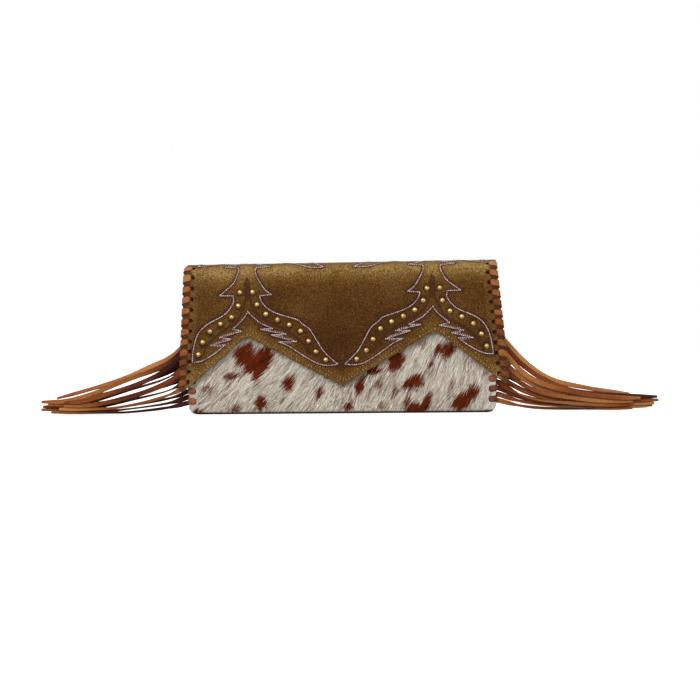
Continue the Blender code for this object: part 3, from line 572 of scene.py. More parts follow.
strand_points, strand_faces = [], []
for share, wide, high in ((0.0, 0.75, 0.0), (0.35, 1.0, 0.13), (0.7, 0.72, 0.15)):
    for k in range(3):
        a = math.pi / 2 + 2 * math.pi * k / 3
        strand_points.append((share, 0.5 * wide * math.cos(a), high + 0.35 * wide * math.sin(a)))
strand_points.append((1.0, 0.0, 0.07))
for r in range(2):
    strand_faces += [(3 * r + k, 3 * r + 3 + k, 3 * r + 3 + (k + 1) % 3, 3 * r + (k + 1) % 3)
                     for k in range(3)]
strand_faces += [(6 + k, 9, 6 + (k + 1) % 3) for k in range(3)] + [(0, 1, 2)]

growth, given, gave = new_growth("hide_hair", ("Density", "NodeSocketFloat"), ("Length", "NodeSocketFloat"),
                                 ("Thickness", "NodeSocketFloat"), ("Seed", "NodeSocketInt"),
                                 ("Strand", "NodeSocketObject"))
spread = add(growth, "GeometryNodeDistributePointsOnFaces", {
    "Mesh": given.outputs["Geometry"], "Density": given.outputs["Density"], "Seed": given.outputs["Seed"]})


def named(tree, label):
    return add(tree, "GeometryNodeInputNamedAttribute", {"Name": label},
               data_type="FLOAT").outputs["Attribute"]


def chance(tree, low, high, seed):
    node = add(tree, "FunctionNodeRandomValue", {"Seed": seed}, data_type="FLOAT")
    node.inputs[2].default_value, node.inputs[3].default_value = low, high
    return node.outputs[1]


wild = add(growth, "ShaderNodeTexNoise", {"Scale": 130.0, "Detail": 2.0}).outputs["Fac"]
clump = maths(growth, "MULTIPLY", maths(growth, "SUBTRACT", wild, 0.5), 1.0)
way = maths(growth, "ADD", maths(growth, "ADD", named(growth, "way"), clump), chance(growth, -0.16, 0.16, 3))
lift = chance(growth, -0.05, 0.02, 5)
turned = add(growth, "ShaderNodeCombineXYZ",
             {"X": chance(growth, -0.5, 0.5, 9), "Y": lift, "Z": way}).outputs[0]
length = maths(growth, "MINIMUM",
               maths(growth, "MULTIPLY", given.outputs["Length"], chance(growth, 0.6, 1.25, 7)),
               named(growth, "reach"))
thick = maths(growth, "MULTIPLY", given.outputs["Thickness"], chance(growth, 0.6, 1.3, 11))
size = add(growth, "ShaderNodeCombineXYZ", {
    "X": length, "Y": thick, "Z": maths(growth, "MULTIPLY", maths(growth, "MULTIPLY", length, 0.13),
                                        named(growth, "loft"))}).outputs[0]
one = add(growth, "GeometryNodeObjectInfo", {"Object": given.outputs["Strand"]}).outputs["Geometry"]
standing = add(growth, "GeometryNodeInstanceOnPoints", {
    "Points": spread.outputs["Points"], "Instance": one, "Rotation": turned, "Scale": size}).outputs[0]
toned = add(growth, "GeometryNodeStoreNamedAttribute", {
    "Geometry": standing, "Name": "tone", "Value": chance(growth, 0.0, 1.0, 13)},
    data_type="FLOAT", domain="INSTANCE").outputs[0]
real = add(growth, "GeometryNodeRealizeInstances", {"Geometry": toned}).outputs[0]
coloured = add(growth, "GeometryNodeSetMaterial", {"Geometry": real, "Material": hair_mat}).outputs[0]
growth.links.new(coloured, gave.inputs[0])


def hair_bed(name, left, right):
    """The patch of hide that one piece of hair grows from, flat, in metres."""
    step, points, faces = 1.0, [], []
    columns, rows = round((right - left) / step), round((HIDE_TOP - 2.0) / step)
    for r in range(rows + 1):
        for c in range(columns + 1):
            points.append((left + step * c, 1.6 + step * r, 0.0))
    for r in range(rows):
        for c in range(columns):
            a = r * (columns + 1) + c
            x, y = points[a][0] + step / 2, points[a][1] + step / 2
            if abs(x) < HIDE_HALF - 1.4 - step / 2 and math.hypot(x - SNAP_X, y - SNAP_Z) > SNAP_CLEAR + 0.5:
                faces.append((a, a + 1, a + columns + 2, a + columns + 1))
    values = {"spot": [spot_at(x - 2.9, y - 3.1) for x, y, _ in points],
              "way": [math.radians(hair_way(x, y)) for x, y, _ in points],
              "reach": [max(hair_reach(x, y), 0.3) * MM for x, y, _ in points],
              "loft": [0.35 if abs(x) > 109 else 1.0 for x, y, _ in points]}
    return shape(name, points, faces, None, 0, values)


strand = shape("strand", [(x / MM, y / MM, z / MM) for x, y, z in strand_points], strand_faces, None, 0)
for name, left, right, seed in (("hide_hair_left", -118.0, -2.0, 4), ("hide_hair_right", -2.0, 118.0, 8)):
    hair = grown(name, hair_bed(name + "_bed", left, right), growth,
                 {"Density": HAIR_DENSITY * 1e6, "Length": HAIR_LONG * MM, "Thickness": HAIR_THICK * MM,
                  "Seed": seed, "Strand": strand}, hair_mat,
                 lambda p: Vector((p.x, (HIDE_FRONT_Y + 0.12) * MM - p.z, p.y)), 0)
    hair.data.shade_smooth()
    set_down(hair, "wallet_body", "spotted_hide")
bpy.data.objects.remove(strand, do_unlink=True)

# Back, top and flap
# One panel of waxed olive-brown leather makes the back, runs over the top and hangs down the front as the
# flap. Its cut edges are burnished dark, it is worn golden along the folds and the hem, and the motif's
# channels are tooled into it and dyed. It is split in the middle of the top, where both halves ride the fold.
AXIS_Z = 109.5
FRONT_AXIS_Y = -17.2
REAR_AXIS_Y = 11.1
LEATHER_HALF = 0.8
BACK_HALF = 0.9
ARCH_Y = -3.05
ARCH_Z = 94.79
ARCH_RADIUS = 20.41
ARCH_ANGLE = math.radians(43.9)
BEND_SOFT = 3.2
TOP_HALF = 119.0
LOW_HALF = 126.0
LEAN = math.tan(math.radians(1.0))
SETTLE = 40.0
CORNER_V, POINT_V, PEAK_V, PEAK_U = AXIS_Z - 17.2, AXIS_Z - 21.4, AXIS_Z - 61.4, 72.3
FLAP_HOLES = [-3.8 + HOLE_PITCH * i for i in range(12)]
# How far in from each flap slot its round spot of painted shadow sits
HOLE_RING_IN = 1.35
MOTIF_X = 71.0
OLIVE_DARK = (0.036, 0.0120, 0.0020)
OLIVE_MID = (0.086, 0.0355, 0.0062)
OLIVE_GOLD = (0.170, 0.093, 0.024)
OLIVE_WORN = (0.285, 0.178, 0.062)
FLESH_SIDE = (0.175, 0.105, 0.050)
# Colour of burnished and dyed lines, and of the painted shade round studs and lacing
BURNISHED_AND_SHADE = (0.040, 0.013, 0.0065)
EDGE_DYE = (0.030, 0.015, 0.008)
# Colour of the painted shadow that stands for each lacing hole
HOLE_PAINTED_SHADOW = (0.009, 0.004, 0.003)
# The motif, by distance from its middle line towards the wallet's middle and down from the front fold
INNER_WING = [(0.4, -17.5), (3.2, -14.0), (7.0, -10.8), (12.0, -7.4), (17.9, -4.6), (7.6, -3.6), (6.8, -0.5),
              (8.3, 4.2), (11.6, 10.1), (14.5, 14.2), (19.2, 17.6), (9.8, 18.3), (11.5, 23.1),
              (15.9, 28.0), (22.0, 31.4), (29.5, 34.0), (38.6, 37.0), (41.7, 39.9), (47.4, 44.3),
              (52.7, 53.1),
              (57.5, 61.0), (62.8, 66.7), (68.4, 71.6), (62.8, 72.3), (54.9, 71.4), (46.1, 66.9),
              (37.3, 61.0),
              (30.8, 56.6), (23.6, 53.4)]
INNER_CORNERS = {4, 5, 10, 11, 22, 28}
INNER_FLAME = [(0.4, 29.8), (4.7, 34.2), (9.8, 38.4), (19.2, 43.0), (9.5, 43.4), (29.7, 47.5), (17.8, 47.8),
               (37.3, 53.5), (23.6, 53.4)]
OUTER_WING = [(0.4, -17.5), (-2.6, -14.0), (-6.2, -10.8), (-11.0, -7.4), (-16.7, -4.6), (-6.6, -3.6),
              (-5.8, -0.5), (-7.2, 3.4), (-10.6, 9.3), (-21.0, 17.6), (-10.6, 17.8), (-10.5, 22.8),
              (-14.4, 28.7),
              (-19.2, 32.5), (-26.4, 36.0), (-32.3, 39.1), (-37.2, 43.5), (-40.4, 49.0), (-42.6, 57.0),
              (-43.6, 63.5), (-43.5, 67.1), (-38.0, 66.6), (-32.3, 64.3), (-24.8, 59.7), (-18.2, 54.3)]
OUTER_CORNERS = {4, 5, 9, 10, 20, 24}
OUTER_FLAME = [(0.4, 29.8), (-3.0, 34.8), (-11.5, 42.6), (-4.3, 44.3), (-22.4, 48.7), (-12.6, 50.1),
               (-29.4, 54.6), (-18.2, 54.3)]
FLAME_CORNERS = {0, 3, 4, 5, 6, 7, 8}
OUTER_FLAME_CORNERS = {0, 2, 3, 4, 5, 6, 7}
SPEAR_LEFT = [(0.5, 5.2), (-0.9, 9.8), (-1.3, 13.5), (-1.3, 21.8), (-3.7, 28.7), (-8.3, 36.5), (-16.4, 42.3),
              (-25.3, 48.1), (-31.6, 54.1), (-34.5, 60.1)]
SPEAR_RIGHT = [(0.5, 5.2), (1.8, 9.8), (2.1, 13.5), (2.7, 21.1), (5.1, 28.1), (10.1, 34.4), (18.9, 39.1),
               (27.5, 43.8), (36.1, 49.3), (42.9, 56.5), (47.0, 62.8)]


def way_through(points, corners, step):
    """Places along a smooth line through points, kept sharp at its corners."""
    out = []
    stops = sorted({0, len(points) - 1} | set(corners))
    for a, b in zip(stops, stops[1:]):
        run = [Vector(p) for p in points[a:b + 1]]
        ends = [2 * run[0] - run[1], *run, 2 * run[-1] - run[-2]]
        fine = []
        for i in range(1, len(ends) - 2):
            p, q, r, t = ends[i - 1:i + 3]
            n = max(2, math.ceil((r - q).length / step))
            for s in range(n):
                f = s / n
                fine.append(0.5 * (2 * q + (r - p) * f + (2 * p - 5 * q + 4 * r - t) * f * f
                                   + (3 * q - p - 3 * r + t) * f ** 3))
        out += fine
    out.append(Vector(points[-1]))
    return out


def shifted(line, by):
    """A line moved to its left by a distance."""
    out = []
    for i, here in enumerate(line):
        d = (line[min(i + 1, len(line) - 1)] - line[max(i - 1, 0)]).normalized()
        out.append(here + Vector((-d.y, d.x)) * by)
    return out


motif_lines = [way_through(INNER_WING, INNER_CORNERS, 1.2), way_through(INNER_FLAME, FLAME_CORNERS, 1.2),
               way_through(OUTER_WING, OUTER_CORNERS, 1.2),
               way_through(OUTER_FLAME, OUTER_FLAME_CORNERS, 1.2)]
burnished_lines = [way_through(SPEAR_LEFT, (), 1.2), way_through(SPEAR_RIGHT, (), 1.2)]


def on_flap(u, v, n=0.0):
    """The pattern's place on the flap: u across, v down from the front fold and n out from its middle.
    Above the fold (v < 0) it runs back over the arch, with the bend at the fold eased."""
    settle = min(max(v / SETTLE, 0.0), 1.0)
    lean = max(v, 0.0) * LEAN

    def point(w):
        if w >= 0:
            return Vector((FRONT_AXIS_Y, AXIS_Z - w)), Vector((-1.0, 0.0))
        a = ARCH_ANGLE + w / ARCH_RADIUS
        out = Vector((-math.sin(a), math.cos(a)))
        return Vector((ARCH_Y, ARCH_Z)) + out * ARCH_RADIUS, out

    if abs(v) < BEND_SOFT:
        a, na = point(-BEND_SOFT)
        b, nb = point(BEND_SOFT)
        f = (v + BEND_SOFT) / (2 * BEND_SOFT)
        da, db = Vector((-na.y, na.x)), Vector((-nb.y, nb.x))
        m = 2 * BEND_SOFT
        h0, h1, h2, h3 = 2*f**3 - 3*f**2 + 1, f**3 - 2*f**2 + f, -2*f**3 + 3*f**2, f**3 - f**2
        p = a * h0 + da * m * h1 + b * h2 + db * m * h3
        d = (a * (6*f*f - 6*f) + da * m * (3*f*f - 4*f + 1)
             + b * (6*f - 6*f*f) + db * m * (3*f*f - 2*f)).normalized()
        out = Vector((d.y, -d.x))
    else:
        p, out = point(v)
    p = p + out * n
    return Vector((u + lean, p.x, p.y + u * LEAN * settle)), Vector((0.0, out.x, out.y))


def flap_edge(v):
    return TOP_HALF + (LOW_HALF - TOP_HALF) * min(max(v / CORNER_V, 0), 1)


ARCH_LONG = 2 * ARCH_ANGLE * ARCH_RADIUS
MID_TOP = -ARCH_LONG / 2


def near_lines(lines):
    cells = {}
    for line in lines:
        for p in line:
            for i in range(-3, 4):
                for j in range(-3, 4):
                    cells.setdefault((int(p.x // 4) + i, int(p.y // 4) + j), []).append(p)

    def far(x, y):
        here = cells.get((int(x // 4), int(y // 4)))
        return min((math.hypot(p.x - x, p.y - y) for p in here), default=12.0) if here else 12.0
    return far


fine_motif = [way_through(INNER_WING, INNER_CORNERS, 0.4), way_through(INNER_FLAME, FLAME_CORNERS, 0.4),
              way_through(OUTER_WING, OUTER_CORNERS, 0.4), way_through(OUTER_FLAME, OUTER_FLAME_CORNERS, 0.4)]
from_stitch = near_lines(fine_motif)
from_burnish = near_lines([way_through(SPEAR_LEFT, (), 0.4), way_through(SPEAR_RIGHT, (), 0.4)])
motif_ring = [tuple(p) for p in fine_motif[0][::3] + fine_motif[1][::3][::-1] + fine_motif[3][::3]
              + fine_motif[2][::3][::-1]]

hem = rounded([(-LOW_HALF, CORNER_V, 2.0), (-PEAK_U, PEAK_V, 6.0), (0, POINT_V, 2.5), (PEAK_U, PEAK_V, 6.0),
               (LOW_HALF, CORNER_V, 2.0), (TOP_HALF, 0, 0), (-TOP_HALF, 0, 0)], 5)[:-2]
hem_far = [Vector(p) for p in spaced(hem, 1.0, False)]


# The motif is repeated upside down over the top and the back, a little smaller, its tips at the front fold
OVER_SCALE = 0.87
OVER_START = -3.0
OVER_LONG = 71.6


def over_the_top(p, v):
    """The place in the repeated motif of a place in the front one, and the way back."""
    return p * OVER_SCALE, OVER_START - (OVER_LONG - v) * OVER_SCALE


def back_over(p, v):
    return p / OVER_SCALE, OVER_LONG + (v - OVER_START) / OVER_SCALE


stud_spots = []
for name in nodes:
    if name.startswith("stud_"):
        low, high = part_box(name)
        v = AXIS_Z - (low.z + high.z) / 2 / MM
        stud_spots.append((math.copysign(abs((low.x + high.x) / 2 / MM - v * LEAN), (low.x + high.x)), v))


def from_stud(u, v):
    return min(math.hypot(u - x, v - y) for x, y in stud_spots) if v > 8 else 99.0


def from_hole(u, v):
    return min(math.hypot(flap_edge(h) - HOLE_IN - HOLE_RING_IN - abs(u), h - v) for h in FLAP_HOLES)


def drawn_on_leather(u, v):
    """What is drawn on the leather at a place: hem band, side band of painted shade, tooling, dye, painted shade
    round studs and holes, and wear.
    """
    p, side = MOTIF_X - abs(u), flap_edge(v) - abs(u)
    to_hem = min(math.hypot(q.x - u, q.y - v) for q in hem_far) if v > 40 else 99.0
    stitch = min(from_stitch(p, v), from_stitch(*back_over(p, v)) * OVER_SCALE)
    burn = min(from_burnish(p, v), from_burnish(*back_over(p, v)) * OVER_SCALE)
    within = 1.0 if -3 < v and -46 < p < 71 and inside(motif_ring, p, v) else 0.0
    dye = max(0.0, 1 - stitch / 2.4) * 0.85 if stitch < 2.4 else 0.0
    # Round each stud the leather is darkened: a ring of painted shade and tarnish where the stud meets it
    to_stud = from_stud(u, v)
    dye = max(dye, 0.9 * min(max((3.3 - to_stud) / 0.9, 0.0), 1.0))
    # Near the side edge each lacing hole is painted as a round dark spot, a painted shadow 1.35 mm in from its
    # slot, and within 6 mm of the edge the leather is painted dark as shade between the lacing's turns
    if side < 10:
        dye = max(dye, 1.72 * min(max((1.75 - from_hole(u, v)) / 0.6, 0.0), 1.0),
                  0.78 * min(max((6.0 - side) / 1.2, 0.0), 1.0))
    if to_hem < 7:
        dye = max(dye, 0.62 * max(0.0, 1 - abs(to_hem - 2.2) / 0.9),
                  0.5 * max(0.0, 1 - abs(to_hem - 5.2) / 0.8))
    dye = max(dye, (1 - burn / 1.5) if burn < 1.5 else 0.0)
    spear = 1.0 if 9.0 < v < 22 and -1.3 < p < 2.4 else 0.0
    dye = max(dye, 0.7 * spear)
    fade = max(0.0, 1 - stitch / 5.0)
    field = math.exp(-((v - 40) / 34.0) ** 2) * math.exp(-(u / 62.0) ** 2)
    gold = max(0.0, 1 - to_hem / 10.0) ** 0.45 * 0.56 + max(0.0, 1 - side / 12.0) ** 0.5 * 0.5
    gold = max(gold, math.exp(-((v + 1.5) / 9.0) ** 2) * 0.92, 0.7 * math.exp(-((v - MID_TOP) / 12.0) ** 2))
    return {"dye": dye, "gold": min(gold, 1.0), "shade": min(field * 0.6 + fade * 0.35 * (1 - within), 1.0),
            "within": within, "sunk": max(0.0, 1 - stitch / 0.9) + max(0.0, 1 - burn / 1.2) * 0.8}


def leather_place(u, v):
    told = told_at.get((u, v)) or drawn_on_leather(u, v)
    told_at[(u, v)] = told
    point, normal = on_flap(u, v)
    return point, normal, LEATHER_HALF - 0.16 * min(told["sunk"], 1.0) if v > -5 else LEATHER_HALF



def leather_values(u, v):
    told = told_at.get((u, v)) or drawn_on_leather(u, v)
    return {key: told[key] for key in ("dye", "gold", "shade")}


told_at = {}
olive, tree, shader, at = finish_named("olive_leather_worn")
dye = told_by(tree, "dye")
gold = told_by(tree, "gold")
shade = told_by(tree, "shade")
rim = told_by(tree, "rim")
cloud = noise(tree, at, 24, 3, 0.55)
speck = noise(tree, at, 1050, 3, 0.65)
pebble = noise(tree, at, 330, 4, 0.65)
level = maths(tree, "ADD", maths(tree, "MULTIPLY", cloud, 0.8), maths(tree, "MULTIPLY", gold, 0.62))
level = maths(tree, "SUBTRACT", level, maths(tree, "MULTIPLY", shade, 0.26))
level = maths(tree, "ADD", level, maths(tree, "MULTIPLY", maths(tree, "SUBTRACT", pebble, 0.5), 0.7))
level = maths(tree, "ADD", level, maths(tree, "MULTIPLY", maths(tree, "SUBTRACT", speck, 0.5), 2.4))
colour = ramp(tree, level, (0.05, OLIVE_DARK), (0.42, OLIVE_MID), (0.92, OLIVE_GOLD), (1.55, OLIVE_WORN))
# Tooled and dyed lines darken the leather here, and so does the painted shade round the studs, the holes and the
# lacing
colour = blended(tree, maths(tree, "MINIMUM", dye, 0.92), colour, BURNISHED_AND_SHADE)
# The strongest values paint each lacing hole as a near-black spot of painted shadow
hole_shadow_share = maths(tree, "MAXIMUM", maths(tree, "MULTIPLY_ADD", dye, 1.6, -1.75), 0.0)
colour = blended(tree, hole_shadow_share, colour, HOLE_PAINTED_SHADOW)
suede_side = ramp(tree, level, (0.1, (0.09, 0.048, 0.02)), (0.9, FLESH_SIDE))
colour = blended(tree, told_by(tree, "flesh"), colour, suede_side)
colour = blended(tree, maths(tree, "MULTIPLY", rim, 0.8), colour, EDGE_DYE)
tree.links.new(colour, shader.inputs["Base Color"])
tree.links.new(ramp(tree, level, (0.2, 0.62), (0.8, 0.78)), shader.inputs["Roughness"])
shader.inputs["Specular IOR Level"].default_value = 0.04
grain = add(tree, "ShaderNodeTexVoronoi", {"Vector": at, "Scale": 900.0}).outputs["Distance"]
first = bumped(tree, shader, grain, 0.00022)
bumped(tree, shader, pebble, 0.00055, first)

flap_rows = [(flap_edge(v), v) for v in (60, 30, 0, -4, -8, -12)] + [(TOP_HALF, MID_TOP)]
flap_outline = hem + flap_rows + [(-u, v) for u, v in reversed(flap_rows)]
flap_outline = spaced(flap_outline, 2.0)
drawn, drawn_over = [], []
for side in (-1, 1):
    for lines, offs in ((motif_lines, (-1.0, -0.45, 0.0, 0.45, 1.0)),
                        (burnished_lines, (-1.3, -0.6, 0.0, 0.6, 1.3))):
        for line in lines:
            for off in offs:
                drawn.append([(side * (MOTIF_X - p.x), p.y) for p in shifted(line, off)])
                over = [over_the_top(p.x, p.y) for p in shifted(line, off)]
                drawn_over.append([(side * (MOTIF_X - x), y) for x, y in over])
for inset in (1.5, 2.2, 2.9, 4.6, 5.2, 5.8):
    drawn.append([p for p in shifted(hem_far, -inset) if abs(p.x) < LOW_HALF - 6])
# Rows of points round each stud keep its ring of painted shade and tarnish sharp
for x, y in stud_spots:
    for ring in (2.2, 3.0):
        drawn.append([(x + ring * math.cos(a * math.pi / 6), y + ring * math.sin(a * math.pi / 6))
                      for a in range(12)])
# Rows of points round each painted hole shadow keep it round
for side in (-1, 1):
    for h in FLAP_HOLES:
        drawn.append([(side * (flap_edge(h) - HOLE_IN - HOLE_RING_IN - ring * math.cos(a * math.pi / 5)),
                       h + ring * math.sin(a * math.pi / 5))
                      for ring in (0.6, 1.1, 1.8) for a in range(-3, 4)])
flap_slots = [slot_hole(s * (flap_edge(v) - HOLE_IN), v, HOLE_WIDE, HOLE_TALL) for s in (-1, 1)
              for v in FLAP_HOLES]
flap = cut_sheet("flap_and_top_front", flap_outline, flap_slots, leather_place, olive, 1.5,
                 drawn + drawn_over,
                 values=leather_values)
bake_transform(flap)
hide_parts("flap_leather")


def on_back(u, v, n=0.0):
    """The back half of the pattern: v runs from the middle of the top over the fold and down the back."""
    w = v - ARCH_LONG / 2

    def point(w):
        if w >= 0:
            return Vector((REAR_AXIS_Y, AXIS_Z - w)), Vector((1.0, 0.0))
        a = ARCH_ANGLE + w / ARCH_RADIUS
        out = Vector((math.sin(a), math.cos(a)))
        return Vector((ARCH_Y, ARCH_Z)) + out * ARCH_RADIUS, out

    if abs(w) < BEND_SOFT:
        a, na = point(-BEND_SOFT)
        b, nb = point(BEND_SOFT)
        f = (w + BEND_SOFT) / (2 * BEND_SOFT)
        da, db = Vector((na.y, -na.x)), Vector((nb.y, -nb.x))
        m = 2 * BEND_SOFT
        h0, h1, h2, h3 = 2*f**3 - 3*f**2 + 1, f**3 - 2*f**2 + f, -2*f**3 + 3*f**2, f**3 - f**2
        p = a * h0 + da * m * h1 + b * h2 + db * m * h3
        d = (a * (6*f*f - 6*f) + da * m * (3*f*f - 4*f + 1)
             + b * (6*f - 6*f*f) + db * m * (3*f*f - 2*f)).normalized()
        out = Vector((-d.y, d.x))
    else:
        p, out = point(w)
    return Vector((u, p.x + out.x * n, p.y + out.y * n)), Vector((0.0, out.x, out.y))


def back_place(u, v):
    point, normal = on_back(u, v)
    return point, normal, LEATHER_HALF + (BACK_HALF - LEATHER_HALF) * min(max((v - 20) / 10, 0), 1)


BACK_LONG = ARCH_LONG / 2 + AXIS_Z
back_outline = rounded([(-HIDE_HALF, BACK_LONG, HIDE_CORNER), (HIDE_HALF, BACK_LONG, HIDE_CORNER),
                        (HIDE_HALF, 20, 0), (TOP_HALF, 12, 0), (TOP_HALF, 0, 0), (-TOP_HALF, 0, 0),
                        (-TOP_HALF, 12, 0), (-HIDE_HALF, 20, 0)])
back_slots = [slot_hole(s * (HIDE_HALF - HOLE_IN), BACK_LONG - z, HOLE_WIDE, HOLE_TALL)
              for s in (-1, 1) for z in BODY_HOLES]


def worn_back(u, v):
    side, low = HIDE_HALF - abs(u), BACK_LONG - v
    gold = max(0.0, 1 - side / 10.0) * 0.5 + max(0.0, 1 - low / 10.0) * 0.6
    gold = max(gold, math.exp(-((v - ARCH_LONG / 2) / 8.0) ** 2) * 0.9, 0.7 * math.exp(-(v / 12.0) ** 2))
    p, up = back_over(MOTIF_X - abs(u), MID_TOP - v)
    stitch, burn = from_stitch(p, up) * OVER_SCALE, from_burnish(p, up) * OVER_SCALE
    dye = max(0.0, 1 - stitch / 1.9) * 0.55
    dye = max(dye, 1 - burn / 1.5, 0.7 if 9.0 < up < 22 and -1.3 < p < 2.4 else 0.0)
    return {"dye": dye, "gold": min(gold, 1.0), "shade": 0.45 * math.exp(-((v - 60) / 40.0) ** 2)}


back = cut_sheet("back_and_top_rear", spaced(back_outline, 3.0), back_slots, back_place, olive, 2.2,
                 [[(u, MID_TOP - v) for u, v in line] for line in drawn_over], values=worn_back)
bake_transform(back)
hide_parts("back_panel", "spine_leather")

# Motif stitching
# Two rows of machine stitching follow every line of the motif, a pale thread and a dark one just outside it,
# and a third short one fills the barbs of the flame. The first two run on over the top and down the back,
# and two golden rows follow the flap's hem.
STITCH_PITCH = 1.45
STITCH_LONG = 1.42
STITCH_THICK = 0.88
STITCH_SLANT = 19.0
ROWS_APART = 1.15
PALE_THREAD = (0.62, 0.49, 0.465)
DARK_THREAD = (0.042, 0.014, 0.020)
HEM_THREAD = (0.44, 0.285, 0.085)


def thread(name, colour, deep):
    mat, tree, shader, at = finish_named(name)
    tone = told_by(tree, "tone")
    fluff = noise(tree, at, 2600, 2, 0.5)
    level = maths(tree, "ADD", maths(tree, "MULTIPLY", tone, 0.6), maths(tree, "MULTIPLY", fluff, 0.5))
    tree.links.new(ramp(tree, level, (0.2, deep), (0.75, colour)), shader.inputs["Base Color"])
    shader.inputs["Roughness"].default_value = 0.75
    shader.inputs["Specular IOR Level"].default_value = 0.12
    bumped(tree, shader, fluff, 0.0001)
    return mat


pale_thread = thread("pale_thread", PALE_THREAD, (0.24, 0.17, 0.17))
dark_thread = thread("dark_thread", DARK_THREAD, (0.028, 0.012, 0.014))
hem_thread = thread("hem_thread", HEM_THREAD, (0.13, 0.075, 0.025))

stitch_growth, given, gave = new_growth(
    "stitches", ("Pitch", "NodeSocketFloat"), ("Length", "NodeSocketFloat"), ("Thickness", "NodeSocketFloat"),
    ("Slant", "NodeSocketFloat"), ("Stitch", "NodeSocketObject"), ("Seed", "NodeSocketInt"))
path = add(stitch_growth, "GeometryNodeMeshToCurve", {"Mesh": given.outputs["Geometry"]}).outputs[0]
path = add(stitch_growth, "GeometryNodeResampleCurve", {"Curve": path, "Length": given.outputs["Pitch"]},
           mode="LENGTH").outputs[0]
tangent = add(stitch_growth, "GeometryNodeInputTangent").outputs[0]
along = add(stitch_growth, "FunctionNodeAlignRotationToVector", {"Vector": tangent}, axis="X",
            pivot_axis="Z").outputs[0]
slanted = add(stitch_growth, "ShaderNodeCombineXYZ", {"Z": given.outputs["Slant"]}).outputs[0]
along = add(stitch_growth, "FunctionNodeRotateRotation", {"Rotation": along, "Rotate By": slanted},
            rotation_space="LOCAL").outputs[0]
size = add(stitch_growth, "ShaderNodeCombineXYZ",
           {"X": given.outputs["Length"], "Y": given.outputs["Thickness"],
                                                   "Z": given.outputs["Thickness"]}).outputs[0]
one = add(stitch_growth, "GeometryNodeObjectInfo", {"Object": given.outputs["Stitch"]}).outputs["Geometry"]
standing = add(stitch_growth, "GeometryNodeInstanceOnPoints", {
    "Points": path, "Instance": one, "Rotation": along, "Scale": size}).outputs[0]
tone = add(stitch_growth, "FunctionNodeRandomValue", {"Seed": given.outputs["Seed"]},
           data_type="FLOAT").outputs[1]
toned = add(stitch_growth, "GeometryNodeStoreNamedAttribute",
            {"Geometry": standing, "Name": "tone", "Value": tone},
            data_type="FLOAT", domain="INSTANCE").outputs[0]
real = add(stitch_growth, "GeometryNodeRealizeInstances", {"Geometry": toned}).outputs[0]
real = add(stitch_growth, "GeometryNodeSetMaterial", {"Geometry": real, "Material": pale_thread}).outputs[0]
stitch_growth.links.new(real, gave.inputs[0])

rings, stitch_faces = [(-0.5, 0.35, -0.35), (-0.22, 0.95, 0.05), (0.22, 0.95, 0.05), (0.5, 0.35, -0.35)], []
stitch_points = [(x, 0.5 * wide * math.cos(2 * math.pi * k / 5),
                  high + 0.42 * wide * math.sin(2 * math.pi * k / 5))
                 for x, wide, high in rings for k in range(5)]
for r in range(3):
    stitch_faces += [(5 * r + k, 5 * r + 5 + k, 5 * r + 5 + (k + 1) % 5, 5 * r + (k + 1) % 5)
                     for k in range(5)]
stitch_faces += [(0, 1, 2, 3, 4), (19, 18, 17, 16, 15)]


def stitched(name, lines, mat, placed, pitch=STITCH_PITCH, long=STITCH_LONG, thick=STITCH_THICK, seed=1):
    """Stitches along flat lines in millimetres, laid on the leather by placed(u, v, n)."""
    points, edges = [], []
    for line in lines:
        first = len(points)
        points += [(p[0], p[1], 0.0) for p in line]
        edges += [(first + i, first + i + 1) for i in range(len(line) - 1)]
    base = shape(name + "_lines", points, [], None, 0)
    base.data.clear_geometry()
    base.data.from_pydata([(x * MM, y * MM, 0.0) for x, y, _ in points], edges, [])
    one = shape("stitch", [(x / MM, y / MM, z / MM) for x, y, z in stitch_points], stitch_faces, None, 0)
    obj = grown(name, base, stitch_growth, {"Pitch": pitch * MM, "Length": long * MM, "Thickness": thick * MM,
                                            "Slant": math.radians(STITCH_SLANT), "Stitch": one,
                                            "Seed": seed}, mat,
                lambda p: placed(p.x / MM, p.y / MM, p.z / MM) * MM, 60.0)
    bpy.data.objects.remove(one, do_unlink=True)
    face_out(obj)
    return obj


def on_front_face(u, v, n):
    return on_flap(u, v, LEATHER_HALF + n)[0]


def on_back_face(u, v, n):
    return on_back(u, v, LEATHER_HALF + n)[0]


outsides = (-1, 1, 1, -1)
for name, mat, off in (("pale", pale_thread, 0.0), ("dark", dark_thread, ROWS_APART)):
    ahead, over = [], []
    for line, way in zip(motif_lines, outsides):
        row = shifted(line, way * off)
        for side in (-1, 1):
            ahead.append([(side * (MOTIF_X - p.x), p.y) for p in row])
            turned = [over_the_top(p.x, p.y) for p in row]
            front_part = [(side * (MOTIF_X - x), y) for x, y in turned if y > MID_TOP + 0.4]
            runs, run = [], []
            for x, y in turned:
                if y < MID_TOP - 0.4:
                    run.append((side * (MOTIF_X - x), MID_TOP - y))
                elif run:
                    runs.append(run)
                    run = []
            over += [r for r in runs + [run] if len(r) > 1]
            if len(front_part) > 2:
                gap = max(range(1, len(front_part)),
                          key=lambda i: math.dist(front_part[i], front_part[i - 1]))
                if math.dist(front_part[gap], front_part[gap - 1]) > 4:
                    ahead += [r for r in (front_part[:gap], front_part[gap:]) if len(r) > 1]
                else:
                    ahead.append(front_part)
    thick = STITCH_THICK if name == "pale" else STITCH_THICK * 0.85
    front_row = stitched("motif_stitches_" + name, ahead, mat, on_front_face, thick=thick, seed=3)
    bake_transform(front_row)
    back_row = stitched("motif_stitches_" + name + "_back", over, mat, on_back_face, thick=thick, seed=5)
    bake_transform(back_row)

